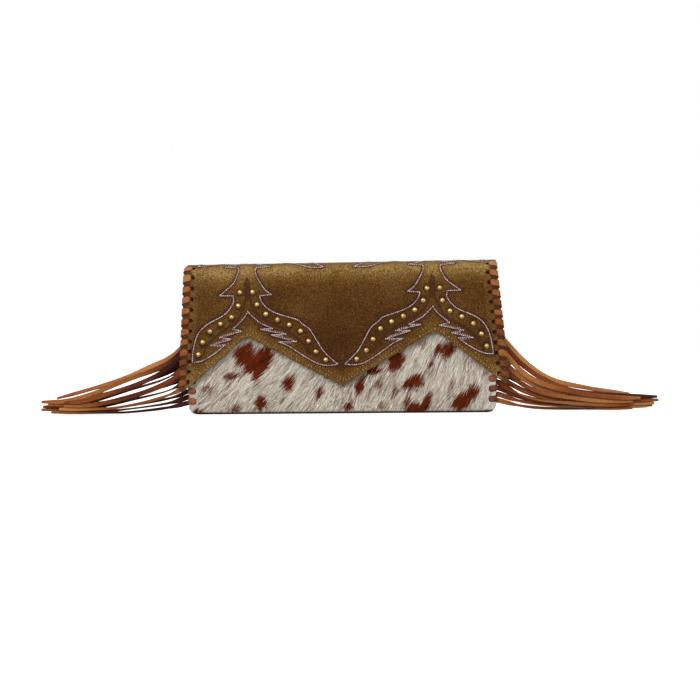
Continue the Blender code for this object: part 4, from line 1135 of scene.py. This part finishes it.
tips = [p for points, corners in ((INNER_FLAME, FLAME_CORNERS), (OUTER_FLAME, OUTER_FLAME_CORNERS))
        for k, p in enumerate(points) if k in corners]
barbs = []
for line, way in ((motif_lines[1], 1), (motif_lines[3], -1)):
    runs, run = [], []
    for here, there in zip(line, shifted(line, -way * 0.95)):
        if here.y > 42 and min(math.dist(here, tip) for tip in tips) > 2.6:
            run.append(there)
        elif run:
            runs.append(run)
            run = []
    barbs += [[(side * (MOTIF_X - p.x), p.y) for p in r] for side in (-1, 1) for r in runs if len(r) > 2]
obj = stitched("motif_stitches_barbs", barbs, pale_thread, on_front_face, 1.6, 1.35, 0.46, 13)
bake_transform(obj)

hem_line = [Vector(p) for p in spaced(hem, 1.5, False)]
for name, inset, thick, seed in (("hem_stitches", 2.2, 0.62, 7), ("hem_stitches_inner", 5.2, 0.42, 9)):
    row = [p for p in shifted(hem_line, -inset) if abs(p.x) < LOW_HALF - 8 and p.y < CORNER_V - 2]
    obj = stitched(name, [row], hem_thread, on_front_face, 2.5, 1.7, thick, seed)
    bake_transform(obj)

# Flap lacing
# A flat thong of orange-tan leather is whipped round both side edges of the flap, narrow where it dives
# through each hole and full width over the edge. It is painted darker where it dives in and along its thin
# edges, as painted shade. Its top turns over the fold are the palest.
THONG_THICK = 0.95
THONG_WIDE = 5.1
THONG_NARROW = 2.0
TAN_THONG = (0.195, 0.053, 0.008)
TAN_WORN = (0.34, 0.14, 0.045)
TAN_DEEP = (0.060, 0.014, 0.004)


def thong_finish(name, plain, worn, deep):
    mat, tree, shader, at = finish_named(name)
    tone = told_by(tree, "tone")
    side = told_by(tree, "side")
    patch = noise(tree, at, 170, 4, 0.6)
    grain = noise(tree, at, 900, 3, 0.6)
    level = maths(tree, "ADD", maths(tree, "MULTIPLY", tone, 0.55), maths(tree, "MULTIPLY", patch, 0.6))
    level = maths(tree, "ADD", level, maths(tree, "MULTIPLY", maths(tree, "SUBTRACT", grain, 0.5), 0.5))
    colour = ramp(tree, level, (0.18, deep), (0.5, plain), (0.95, worn))
    # The thong's thin edges are painted darker: painted shade on its rounded sides
    tree.links.new(blended(tree, maths(tree, "MULTIPLY", side, 0.85), colour, deep),
                   shader.inputs["Base Color"])
    tree.links.new(ramp(tree, level, (0.2, 0.42), (0.9, 0.62)), shader.inputs["Roughness"])
    first = bumped(tree, shader, grain, 0.0002)
    bumped(tree, shader, patch, 0.0007, first)
    shader.inputs["Specular IOR Level"].default_value = 0.12
    return mat


tan_thong = thong_finish("tan_thong", TAN_THONG, TAN_WORN, TAN_DEEP)


def lacing(name, holes, half_leather, placed, mat, worn=lambda a: 0.0, seed=1):
    """A thong whipped round an edge: placed(a, b, c) goes along the edge, in from it, and outwards."""
    dice = random.Random(seed)
    out = half_leather + 0.15 + THONG_THICK / 2
    turn = [(HOLE_IN, -half_leather * 0.9, 0.0, THONG_NARROW),
            (HOLE_IN, half_leather * 0.5, 0.0, THONG_NARROW),
            (HOLE_IN - 0.2, out * 0.88, 0.05, 3.0), (HOLE_IN - 0.6, out + 0.04, 0.12, THONG_WIDE - 0.7),
            (HOLE_IN - 1.4, out + 0.10, 0.3, THONG_WIDE), (HOLE_IN - 3.2, out + 0.14, 0.5, THONG_WIDE),
            (HOLE_IN - 4.6, out + 0.08, 0.75, THONG_WIDE), (0.35, out - 0.12, 1.0, THONG_WIDE - 0.1),
            (-0.35, out * 0.62, 1.35, THONG_WIDE - 0.2), (-0.62, 0.0, 1.8, THONG_WIDE - 0.3),
            (-0.35, -out * 0.62, 2.3, THONG_WIDE - 0.3), (0.35, -out + 0.1, 2.8, THONG_WIDE - 0.4),
            (HOLE_IN - 3.6, -out - 0.1, 4.4, THONG_WIDE - 0.7),
            (HOLE_IN - 1.9, -out - 0.1, 6.0, THONG_WIDE - 1.2),
            (HOLE_IN - 0.9, -out, 7.0, 2.8), (HOLE_IN - 0.2, -out * 0.9, 7.6, THONG_NARROW + 0.3)]
    way, tones = [], []
    for k, hole in enumerate(holes):
        lean, wide, tone = dice.uniform(-0.35, 0.35), dice.uniform(0.92, 1.08), dice.random()
        gap = (holes[k + 1] - hole if k + 1 < len(holes) else HOLE_PITCH) / HOLE_PITCH
        for j, (b, c, climb, w) in enumerate(turn if k + 1 < len(holes) else turn[:14]):
            swell = math.sin(math.pi * min(j / 8, 1.0))
            way.append((Vector((hole + climb * gap + lean * swell, b, c)), w * (1 + (wide - 1) * swell)))
            # Where the thong dives into its hole its tone is lowered: painted shade in the hole
            tones.append(tone * 0.8 + 0.9 * worn(hole) - (0.5 if b > HOLE_IN - 0.5 else 0.0))
    ring = [(-0.5, 0.12), (-0.44, 0.42), (-0.2, 0.52), (0.2, 0.52), (0.44, 0.42), (0.5, 0.12),
            (0.44, -0.42), (-0.44, -0.42)]
    points, faces, side, tone = [], [], [], []
    for k, (here, wide) in enumerate(way):
        ahead = (way[min(k + 1, len(way) - 1)][0] - way[max(k - 1, 0)][0]).normalized()
        across = (Vector((1, 0, 0)) - ahead * ahead.x).normalized()
        normal = across.cross(ahead)
        for x, y in ring:
            p = here + across * (x * wide) + normal * (y * THONG_THICK)
            points.append(placed(*p))
            # Marks the thong's thin edges, which the finish paints darker as shade
            side.append(1.0 if abs(x) > 0.49 else 0.0)
            tone.append(tones[k])
    n = len(ring)
    for k in range(len(way) - 1):
        faces += [(n * k + i, n * k + (i + 1) % n, n * k + n + (i + 1) % n, n * k + n + i) for i in range(n)]
    faces += [tuple(range(n - 1, -1, -1)), tuple(len(points) - n + i for i in range(n))]
    obj = shape(name, points, faces, mat, 60.0, {"side": side, "tone": tone})
    face_out(obj)
    smooth = obj.modifiers.new("round", "SUBSURF")
    smooth.levels = smooth.render_levels = 1
    mesh = bpy.data.meshes.new_from_object(obj.evaluated_get(bpy.context.evaluated_depsgraph_get()))
    obj.modifiers.clear()
    obj.data = mesh
    return obj


for side, name in ((-1, "left"), (1, "right")):
    lace = lacing("flap_thong_" + name, FLAP_HOLES, LEATHER_HALF,
                  lambda a, b, c: on_flap(side * (flap_edge(a) - b), a, c)[0], tan_thong,
                  lambda a: max(0.0, 1 - (a + 4) / 20.0), 11 + side)
    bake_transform(lace)
    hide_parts("flap_lace_" + name)

# Body lacing
# The same whip stitch, in a darker red-brown leather thong, closes the side edges of the hide and of the
# back, through a row of slots in each.
RED_THONG = (0.20, 0.055, 0.022)
red_thong = thong_finish("red_brown_thong", RED_THONG, (0.34, 0.12, 0.05), (0.045, 0.012, 0.008))
for side, name in ((-1, "left"), (1, "right")):
    lace = lacing("hide_thong_" + name, BODY_HOLES, HIDE_THICK / 2,
                  lambda a, b, c: Vector((side * (HIDE_HALF - b), HIDE_FRONT_Y + HIDE_THICK / 2 - c, a)),
                  red_thong, seed=21 + side)
    set_down(lace, "wallet_body", "red_brown_lace", "front_lace_" + name)
    lace = lacing("back_thong_" + name, BODY_HOLES, BACK_HALF,
                  lambda a, b, c: Vector((side * (HIDE_HALF - b), REAR_AXIS_Y + c, a)), red_thong,
                  seed=31 + side)
    set_down(lace, "wallet_body", "red_brown_lace", "back_lace_" + name)

# Fringe
# On each side a strip of red-brown leather is comb-cut into a dozen strands under a header sewn to the
# gusset's front flange. They come out between the walls, turn flat as they fall, and lie on the table.
FRINGE_HEADER_X = 111.25
FRINGE_HEADER_LONG = 5.0
FRINGE_Y = -12.0 + 1.6 + 0.3 + 0.9 + 0.3 + 0.55
FRINGE_STRANDS = 12
FRINGE_WIDE = 4.4
FRINGE_THICK = 1.1
FRINGE_LOW = 9.0
FRINGE_PITCH = 4.7
FRINGE_TAN = (0.40, 0.175, 0.058)
FRINGE_ORANGE = (0.190, 0.050, 0.011)
FRINGE_MAROON = (0.032, 0.006, 0.0035)
# Some strands leave the header twisted, edge on to the front
EDGE_ON_LEFT = (0, 1, 2, 3, 4, 5, 7)
EDGE_ON_RIGHT = (0, 1, 3, 5, 8)


def eased(t):
    t = min(max(t, 0.0), 1.0)
    return t * t * (3 - 2 * t)


def strand_at(side, i, t):
    """Where strand i is from the header (t = 0) to its tip (t = 1), and its turn towards flat."""
    share, lane = i / (FRINGE_STRANDS - 1), i % 3 - 1.0
    start_z = FRINGE_LOW + FRINGE_PITCH * i
    reach = 240.0 - 22.0 * (0.5 + 0.5 * math.sin(2.3 * i + 0.5 + 0.5 * side))
    x = FRINGE_HEADER_X + t * (reach - FRINGE_HEADER_X)
    away = math.hypot(max(x - HIDE_HALF + 1.0, 0.0), 7.0) - 7.0
    varied = 1 + 0.12 * lane
    if side > 0:
        fallen = math.exp(-away / (varied * (17.0 + 7.0 * share)))
    else:
        run = away / (varied * (56.0 + 48.0 * share))
        fallen = 0.70 * max(1 - run, 0.0) ** 1.35 + 0.30 * math.exp(-away / 6.0)
    settled = eased(away / 112.0)
    rest = 1.6 + (1.15 - 0.35 * settled) * i
    wave = 2.2 * share * (1 - settled) * eased(away / 52.0) * math.sin(math.pi * away / 52.0 + 2.1 * lane + side)
    z = rest + (start_z - rest) * fallen + wave
    far = min(max((x - HIDE_HALF) / 100.0, 0.0), 1.0)
    sway = 3.0 * far * math.sin(far * 3.4) * side
    y = FRINGE_Y + (5.0 + lane * 4.4 + sway) * eased((x - HIDE_HALF + 4.0) / 14.0)
    if i in (EDGE_ON_LEFT if side < 0 else EDGE_ON_RIGHT):
        turn = 72.0 * eased(away / 13.0) - 28.0 * eased((away - 38.0) / 60.0)
    else:
        turn = 24.0 * eased(away / 48.0) + 16.0 * settled
    if i < 2:
        turn = max(turn, 60.0 * eased(away / 48.0))
    return Vector((side * x, y, z + 0.6 * settled)), math.radians(turn)


fringe_mat, tree, shader, at = finish_named("fringe_leather_cut")
tone = told_by(tree, "tone")
flesh = told_by(tree, "flesh")
strand_edge_shade = told_by(tree, "side")
patch = noise(tree, at, 60, 4, 0.6, (0.35, 1.0, 1.0))
grain = noise(tree, at, 700, 4, 0.65)
level = maths(tree, "ADD", maths(tree, "MULTIPLY", tone, 0.6), maths(tree, "MULTIPLY", patch, 0.55))
level = maths(tree, "ADD", level, maths(tree, "MULTIPLY", maths(tree, "SUBTRACT", grain, 0.5), 0.45))
colour = ramp(tree, level, (0.2, FRINGE_MAROON), (0.52, FRINGE_ORANGE), (0.92, FRINGE_TAN))
# The strands' underside, their flesh side, is painted darker as shade
colour = blended(tree, maths(tree, "MULTIPLY", flesh, 0.75), colour, (0.075, 0.017, 0.007))
# The strands' cut edges are darkened towards maroon: painted shade in the dark lines between strands
tree.links.new(blended(tree, maths(tree, "MULTIPLY", strand_edge_shade, 0.5), colour, FRINGE_MAROON),
               shader.inputs["Base Color"])
tree.links.new(ramp(tree, level, (0.2, 0.55), (0.9, 0.7)), shader.inputs["Roughness"])
shader.inputs["Specular IOR Level"].default_value = 0.06
first = bumped(tree, shader, grain, 0.0002)
bumped(tree, shader, patch, 0.0008, first)

for side, name in ((-1, "left"), (1, "right")):
    dice = random.Random(40 + side)
    points, faces, tones, underside_shades, sides = [], [], [], [], []
    for i in range(FRINGE_STRANDS):
        tone, phase, thin = dice.random(), dice.uniform(0, 6.28), dice.uniform(0.84, 1.0)
        first = len(points)
        count = 72
        for k in range(count + 1):
            t = (k / count) ** 1.25
            here, turn = strand_at(side, i, t)
            along = (strand_at(side, i, t + 0.004)[0] - strand_at(side, i, t - 0.004)[0]).normalized()
            turn += 0.13 * math.sin(9 * t + phase) * min(t * 4, 1.0)
            across = Vector((0, math.sin(turn), math.cos(turn)))
            across = (across - along * across.dot(along)).normalized()
            normal = across.cross(along) * side
            narrow = (1.0 - 0.45 * max(t - 0.9, 0) / 0.1) * (thin + 0.04 * math.sin(23 * t + phase))
            wide, thick, cup = FRINGE_WIDE * narrow, FRINGE_THICK, 0.10 * math.sin(5 * t + phase)
            for x, y in ((-0.5, -0.25), (-0.47, 0.3), (-0.25, 0.46), (0.25, 0.46), (0.47, 0.3), (0.5, -0.25),
                         (0.25, -0.46), (-0.25, -0.46)):
                lift = cup * (4 * x * x - 0.5)
                points.append(here + across * (x * wide) - normal * (y * thick + lift))
                # Marks each strand's underside, which the finish paints darker as shade
                underside_shades.append(1.0 if y < -0.4 else 0.0)
                # Marks each strand's cut edges, which the finish paints darker as shade between strands
                sides.append(1.0 if abs(x) > 0.49 else 0.0)
                tones.append(0.98 * tone - 0.13 + 0.28 * math.sin(5.5 * t + phase) + 0.35 * max(t - 0.55, 0)
                             - (0.45 * max(1 - 3 * t, 0) if side < 0 else 0.0))
        n = 8
        for k in range(count):
            a = first + n * k
            faces += [(a + j, a + (j + 1) % n, a + n + (j + 1) % n, a + n + j) for j in range(n)]
        faces += [tuple(first + j for j in range(n - 1, -1, -1)),
                  tuple(len(points) - n + j for j in range(n))]
    low, high = FRINGE_LOW - FRINGE_PITCH / 2, FRINGE_LOW + FRINGE_PITCH * (FRINGE_STRANDS - 0.5)
    first = len(points)
    for x in (FRINGE_HEADER_X - FRINGE_HEADER_LONG, FRINGE_HEADER_X + 0.2):
        for y in (FRINGE_Y - FRINGE_THICK / 2, FRINGE_Y + FRINGE_THICK / 2):
            for z in (low, high):
                points.append(Vector((side * x, y, z)))
    faces += [tuple(first + j for j in f) for f in ((0, 1, 3, 2), (4, 6, 7, 5), (0, 4, 5, 1), (2, 3, 7, 6),
                                                     (0, 2, 6, 4), (1, 5, 7, 3))]
    tones, underside_shades, sides = tones + [0.4] * 8, underside_shades + [0.0] * 8, sides + [0.3] * 8
    fringe = shape("fringe_strands_" + name, points, faces, fringe_mat, 70.0,
                   {"tone": tones, "flesh": underside_shades, "side": sides})
    face_out(fringe)
    set_down(fringe, "wallet_body", "fringe_leather", "fringe_" + name)

# Studs
# Domed brass studs, sixteen to a motif, are pushed through the leather and clenched behind it. Each has a
# thin rim, and the leather round it is painted dark: a ring of painted shade and tarnish.
STUD_PROFILE = [(0.6, -1.6), (0.6, -0.1), (2.08, -0.12), (2.14, 0.10), (2.02, 0.42), (1.74, 0.84),
                (1.34, 1.17),
                (0.86, 1.38), (0.40, 1.47)]
BRASS = (0.53, 0.37, 0.15)
brass, tree, shader, at = finish_named("brass_aged")
rubbed = noise(tree, at, 420, 3, 0.6)
tree.links.new(ramp(tree, rubbed, (0.3, (0.20, 0.115, 0.035)), (0.6, BRASS)), shader.inputs["Base Color"])
shader.inputs["Metallic"].default_value = 1.0
tree.links.new(ramp(tree, rubbed, (0.3, 0.46), (0.7, 0.30)), shader.inputs["Roughness"])
bumped(tree, shader, noise(tree, at, 1500, 2, 0.5), 0.00006)

stud_growth, given, gave = new_growth("studs", ("Stud", "NodeSocketObject"))
one = add(stud_growth, "GeometryNodeObjectInfo", {"Object": given.outputs["Stud"]}).outputs["Geometry"]
spots = add(stud_growth, "GeometryNodeMeshToPoints", {"Mesh": given.outputs["Geometry"]}).outputs[0]
standing = add(stud_growth, "GeometryNodeInstanceOnPoints", {"Points": spots, "Instance": one}).outputs[0]
real = add(stud_growth, "GeometryNodeRealizeInstances", {"Geometry": standing}).outputs[0]
real = add(stud_growth, "GeometryNodeSetMaterial", {"Geometry": real, "Material": brass}).outputs[0]
stud_growth.links.new(real, gave.inputs[0])


def lathed(name, profile, mat, count=24, closed=True):
    """A turned shape about its own Y axis, its front towards -Y, from (radius, height) in millimetres."""
    points, faces = [], []
    for r, h in profile:
        for k in range(count):
            a = 2 * math.pi * k / count
            points.append((r * math.cos(a), -h, r * math.sin(a)))
    for i in range(len(profile) - 1):
        for k in range(count):
            m = (k + 1) % count
            faces.append((i * count + k, (i + 1) * count + k, (i + 1) * count + m, i * count + m))
    points += [(0, -profile[0][1], 0), (0, -profile[-1][1] - (0.03 if closed else 0), 0)]
    last = (len(profile) - 1) * count
    for k in range(count):
        m = (k + 1) % count
        faces += [(k, m, len(points) - 2), (last + m, last + k, len(points) - 1)]
    obj = shape(name, points, faces, mat, 50.0)
    face_out(obj)
    return obj


stud_names = sorted(name for name in nodes if name.startswith("stud_"))
centres = []
for name in stud_names:
    low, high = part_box(name)
    centres.append(((low.x + high.x) / 2 / MM, -18.0, (low.z + high.z) / 2 / MM))
stud = lathed("stud", STUD_PROFILE, None)
bed = shape("stud_bed", centres, [], None, 0)
studs = grown("studs", bed, stud_growth, {"Stud": stud}, brass, None, 50.0)
bpy.data.objects.remove(stud, do_unlink=True)
set_down(studs, "flap", "brass", *stud_names)

# Linings and card pockets
# The front and back walls are lined with tan split suede, and two tiers of card pockets are sewn to the
# back lining. They are plain cut sheets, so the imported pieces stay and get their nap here.
SUEDE_TAN = (0.36, 0.205, 0.105)
suede, tree, shader, at = finish_named("tan_suede")
nap = noise(tree, at, 1300, 3, 0.65)
drift = noise(tree, at, 45, 4, 0.6)
level = maths(tree, "ADD", maths(tree, "MULTIPLY", drift, 0.7), maths(tree, "MULTIPLY", nap, 0.45))
tree.links.new(ramp(tree, level, (0.35, (0.20, 0.105, 0.05)), (0.75, SUEDE_TAN)), shader.inputs["Base Color"])
shader.inputs["Roughness"].default_value = 0.92
shader.inputs["Specular IOR Level"].default_value = 0.08
first = bumped(tree, shader, nap, 0.00018)
bumped(tree, shader, drift, 0.0006, first)
for name in ("back_lining", "front_lining", "card_pocket_upper", "card_pocket_lower", "coin_pocket_front",
             "coin_pocket_rear", "flap_lining"):
    for place in nodes[name].material_slots:
        place.material = suede

# Base and gussets
# Brown chrome-tanned leather closes the bottom between the two walls and folds inwards at the sides. These
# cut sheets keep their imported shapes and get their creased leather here.
GUSSET_BROWN = (0.11, 0.052, 0.021)
gusset, tree, shader, at = finish_named("brown_gusset_leather")
crease = noise(tree, at, 210, 5, 0.65)
drift = noise(tree, at, 40, 3, 0.5)
level = maths(tree, "ADD", maths(tree, "MULTIPLY", crease, 0.6), maths(tree, "MULTIPLY", drift, 0.5))
tree.links.new(ramp(tree, level, (0.35, (0.045, 0.019, 0.008)), (0.72, GUSSET_BROWN)),
               shader.inputs["Base Color"])
tree.links.new(ramp(tree, level, (0.3, 0.5), (0.8, 0.68)), shader.inputs["Roughness"])
shader.inputs["Specular IOR Level"].default_value = 0.15
bumped(tree, shader, crease, 0.0006)
for name in ("base_panel", "gusset_left", "gusset_right"):
    for place in nodes[name].material_slots:
        place.material = gusset

# Lining stitches
# Tan thread holds the card pockets on the back lining: round three sides and down the middle of the lower
# one, and down both sides of the upper one.
tan_thread = thread("tan_thread", (0.46, 0.29, 0.15), (0.20, 0.11, 0.05))
low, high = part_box("card_pocket_lower")
pocket_face = low.y / MM
low_u, high_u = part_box("card_pocket_upper")
upper_face = low_u.y / MM
pocket_half, pocket_low = high.x / MM, low.z / MM
pocket_row = [(-pocket_half + 2, high.z / MM - 1.2), (-pocket_half + 2, pocket_low + 2),
              (pocket_half - 2, pocket_low + 2),
              (pocket_half - 2, high.z / MM - 1.2)]
rows = [spaced(pocket_row, 2.0, False), spaced([(0, high.z / MM - 6.5), (0, pocket_low + 2)], 2.0, False)]
obj = stitched("pocket_stitches", rows, tan_thread, lambda u, v, n: Vector((u, pocket_face - n, v)), 2.6,
               2.0, 0.4, 51)
set_down(obj, "wallet_body", "tan_lining")
rows = [spaced([(s * (pocket_half - 2), high_u.z / MM - 1.2), (s * (pocket_half - 2), high.z / MM + 1.2)],
               2.0, False)
        for s in (-1, 1)]
obj = stitched("upper_pocket_stitches", rows, tan_thread, lambda u, v, n: Vector((u, upper_face - n, v)),
               2.6, 2.0,
               0.4, 53)
set_down(obj, "wallet_body", "tan_lining")

# Flap lining stitches
# The flap's suede lining stops short of the hem and the lacing, and is sewn down all round its edge in the
# same tan thread.
LINING_FACE = 1.95
hem_inside = [(p.x, p.y) for p in shifted(hem_line, -5.2) if abs(p.x) < flap_edge(p.y) - 11.5]
left_v, right_v = hem_inside[0][1], hem_inside[-1][1]
row = ([(-flap_edge(6) + 11.5, 6.0)] + [(-flap_edge(left_v) + 11.5, left_v)] + hem_inside
       + [(flap_edge(right_v) - 11.5, right_v), (flap_edge(6) - 11.5, 6.0)])
obj = stitched("flap_lining_stitches", [spaced(row, 2.0)], tan_thread,
               lambda u, v, n: on_flap(u, v, -LINING_FACE - n)[0], 2.8, 2.1, 0.45, 57)
set_down(obj, "flap", "tan_lining")

# Zip tape and teeth
# The coin pocket closes with a brass zip: a dark woven tape on each leaf and a row of teeth that mesh
# from both sides along the top.
TAPE_BROWN = (0.060, 0.036, 0.022)
TOOTH_PITCH = 1.7
low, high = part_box("zip_chain")
chain_half, chain_low, chain_high = high.x / MM, low.z / MM, high.z / MM
tape_mat, tree, shader, at = finish_named("zip_tape_woven")
warp = add(tree, "ShaderNodeTexWave", {"Vector": at, "Scale": 620.0, "Distortion": 0.4},
           bands_direction="X").outputs["Fac"]
weft = add(tree, "ShaderNodeTexWave", {"Vector": at, "Scale": 620.0, "Distortion": 0.4},
           bands_direction="Z").outputs["Fac"]
weave = maths(tree, "MULTIPLY", warp, weft)
tree.links.new(ramp(tree, weave, (0.0, (0.028, 0.016, 0.010)), (1.0, TAPE_BROWN)),
               shader.inputs["Base Color"])
shader.inputs["Roughness"].default_value = 0.88
shader.inputs["Specular IOR Level"].default_value = 0.1
bumped(tree, shader, weave, 0.0002)
points, faces = [], []
for side in (-1, 1):
    section = [(0.06, chain_low), (0.8, chain_low), (0.8, chain_low + 5.0), (0.72, chain_high - 2.9),
               (0.66, chain_high - 1.6),
               (0.5, chain_high - 1.2), (0.12, chain_high - 1.2), (0.06, chain_high - 1.6)]
    first, count = len(points), len(section)
    for k in range(48):
        x = -chain_half + 2 * chain_half * k / 47
        points += [(x, side * y, z + (0.05 * math.sin(k * 2.1) if z > chain_low + 1 else 0)) for y,
                   z in section]
    for k in range(47):
        a = first + count * k
        faces += [(a + j, a + (j + 1) % count, a + count + (j + 1) % count, a + count + j)
                  for j in range(count)]
    faces += [tuple(first + j for j in range(count - 1, -1, -1)),
              tuple(len(points) - count + j for j in range(count))]
tape = shape("zip_tapes", points, faces, tape_mat, 30.0)
face_out(tape)
set_down(tape, "wallet_body", "zip_tape", "zip_chain")

teeth_growth, given, gave = new_growth("zip_teeth", ("Pitch", "NodeSocketFloat"),
                                       ("Tooth", "NodeSocketObject"))
path = add(teeth_growth, "GeometryNodeMeshToCurve", {"Mesh": given.outputs["Geometry"]}).outputs[0]
path = add(teeth_growth, "GeometryNodeResampleCurve", {"Curve": path, "Length": given.outputs["Pitch"]},
           mode="LENGTH").outputs[0]
one = add(teeth_growth, "GeometryNodeObjectInfo", {"Object": given.outputs["Tooth"]}).outputs["Geometry"]
index = add(teeth_growth, "GeometryNodeInputIndex").outputs[0]
odd = maths(teeth_growth, "MULTIPLY", maths(teeth_growth, "MODULO", index, 2.0), math.pi)
turned = add(teeth_growth, "ShaderNodeCombineXYZ", {"Z": odd}).outputs[0]
standing = add(teeth_growth, "GeometryNodeInstanceOnPoints",
               {"Points": path, "Instance": one, "Rotation": turned}).outputs[0]
real = add(teeth_growth, "GeometryNodeRealizeInstances", {"Geometry": standing}).outputs[0]
real = add(teeth_growth, "GeometryNodeSetMaterial", {"Geometry": real, "Material": brass}).outputs[0]
teeth_growth.links.new(real, gave.inputs[0])
tooth_points, tooth_faces = [], []
for y, half, high_z in ((-1.5, 0.42, 1.1), (-0.5, 0.5, 1.35), (0.45, 0.62, 1.35), (1.15, 0.45, 1.0)):
    tooth_points += [(-half, y, -high_z), (half, y, -high_z), (half, y, high_z), (-half, y, high_z)]
for r in range(3):
    tooth_faces += [(4 * r + k, 4 * r + (k + 1) % 4, 4 * r + 4 + (k + 1) % 4, 4 * r + 4 + k)
                    for k in range(4)]
tooth_faces += [(3, 2, 1, 0), (12, 13, 14, 15)]
tooth = shape("tooth", tooth_points, tooth_faces, None, 0)
bed = shape("teeth_line", [(-chain_half + 1.2, 0, 0), (chain_half - 1.2, 0, 0)], [], None, 0)
bed.data.clear_geometry()
bed.data.from_pydata([((-chain_half + 1.2) * MM, 0, (chain_high - 1.5) * MM),
                      ((chain_half - 1.2) * MM, 0, (chain_high - 1.5) * MM)], [(0, 1)], [])
teeth = grown("zip_teeth", bed, teeth_growth, {"Pitch": TOOTH_PITCH * MM, "Tooth": tooth}, brass, None, 30.0)
bpy.data.objects.remove(tooth, do_unlink=True)
face_out(teeth)
set_down(teeth, "wallet_body", "brass")

# Zip slider and pull
# A cast brass slider runs over the teeth. Its pull hangs on a cross pin in the lug. Both keep the packed
# shapes that the pin and the channel need, in the studs' aged brass.
for name in ("zip_slider", "zip_pull"):
    for place in nodes[name].material_slots:
        place.material = brass

# Magnetic snap
# A nickel magnetic snap holds the flap: a dished socket riveted through the hide and a flat stud on the
# flap's lining.
steel, tree, shader, at = finish_named("snap_nickel")
worn = noise(tree, at, 500, 3, 0.6)
tree.links.new(ramp(tree, worn, (0.3, (0.36, 0.33, 0.29)), (0.7, (0.60, 0.57, 0.52))),
               shader.inputs["Base Color"])
shader.inputs["Metallic"].default_value = 1.0
tree.links.new(ramp(tree, worn, (0.3, 0.45), (0.7, 0.26)), shader.inputs["Roughness"])
bumped(tree, shader, worn, 0.00008)
for name, towards, profile in (
        ("snap_socket", 1,
         [(6.6, 0.0), (7.0, 0.18), (7.0, 0.62), (6.7, 0.98), (6.0, 1.1), (5.2, 1.06), (4.9, 0.8),
                            (4.6, 0.55), (1.8, 0.5), (1.5, 0.3), (0.6, 0.28)]),
        ("snap_stud", -1,
         [(6.5, 0.0), (7.0, 0.2), (7.0, 0.8), (6.6, 1.1), (5.9, 1.2), (4.4, 1.2), (4.1, 1.08), (2.4, 1.05),
                           (2.2, 1.2), (0.7, 1.2)])):
    low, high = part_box(name)
    obj = lathed(name + "_turned", profile, steel, 40, False)
    middle = Vector(((low.x + high.x) / 2, high.y if towards > 0 else low.y, (low.z + high.z) / 2))
    for vertex in obj.data.vertices:
        vertex.co = Vector((vertex.co.x, vertex.co.y * towards, vertex.co.z)) + middle
    if towards < 0:
        obj.data.flip_normals()
    set_down(obj, "wallet_body" if towards > 0 else "flap", "snap_plate", name)
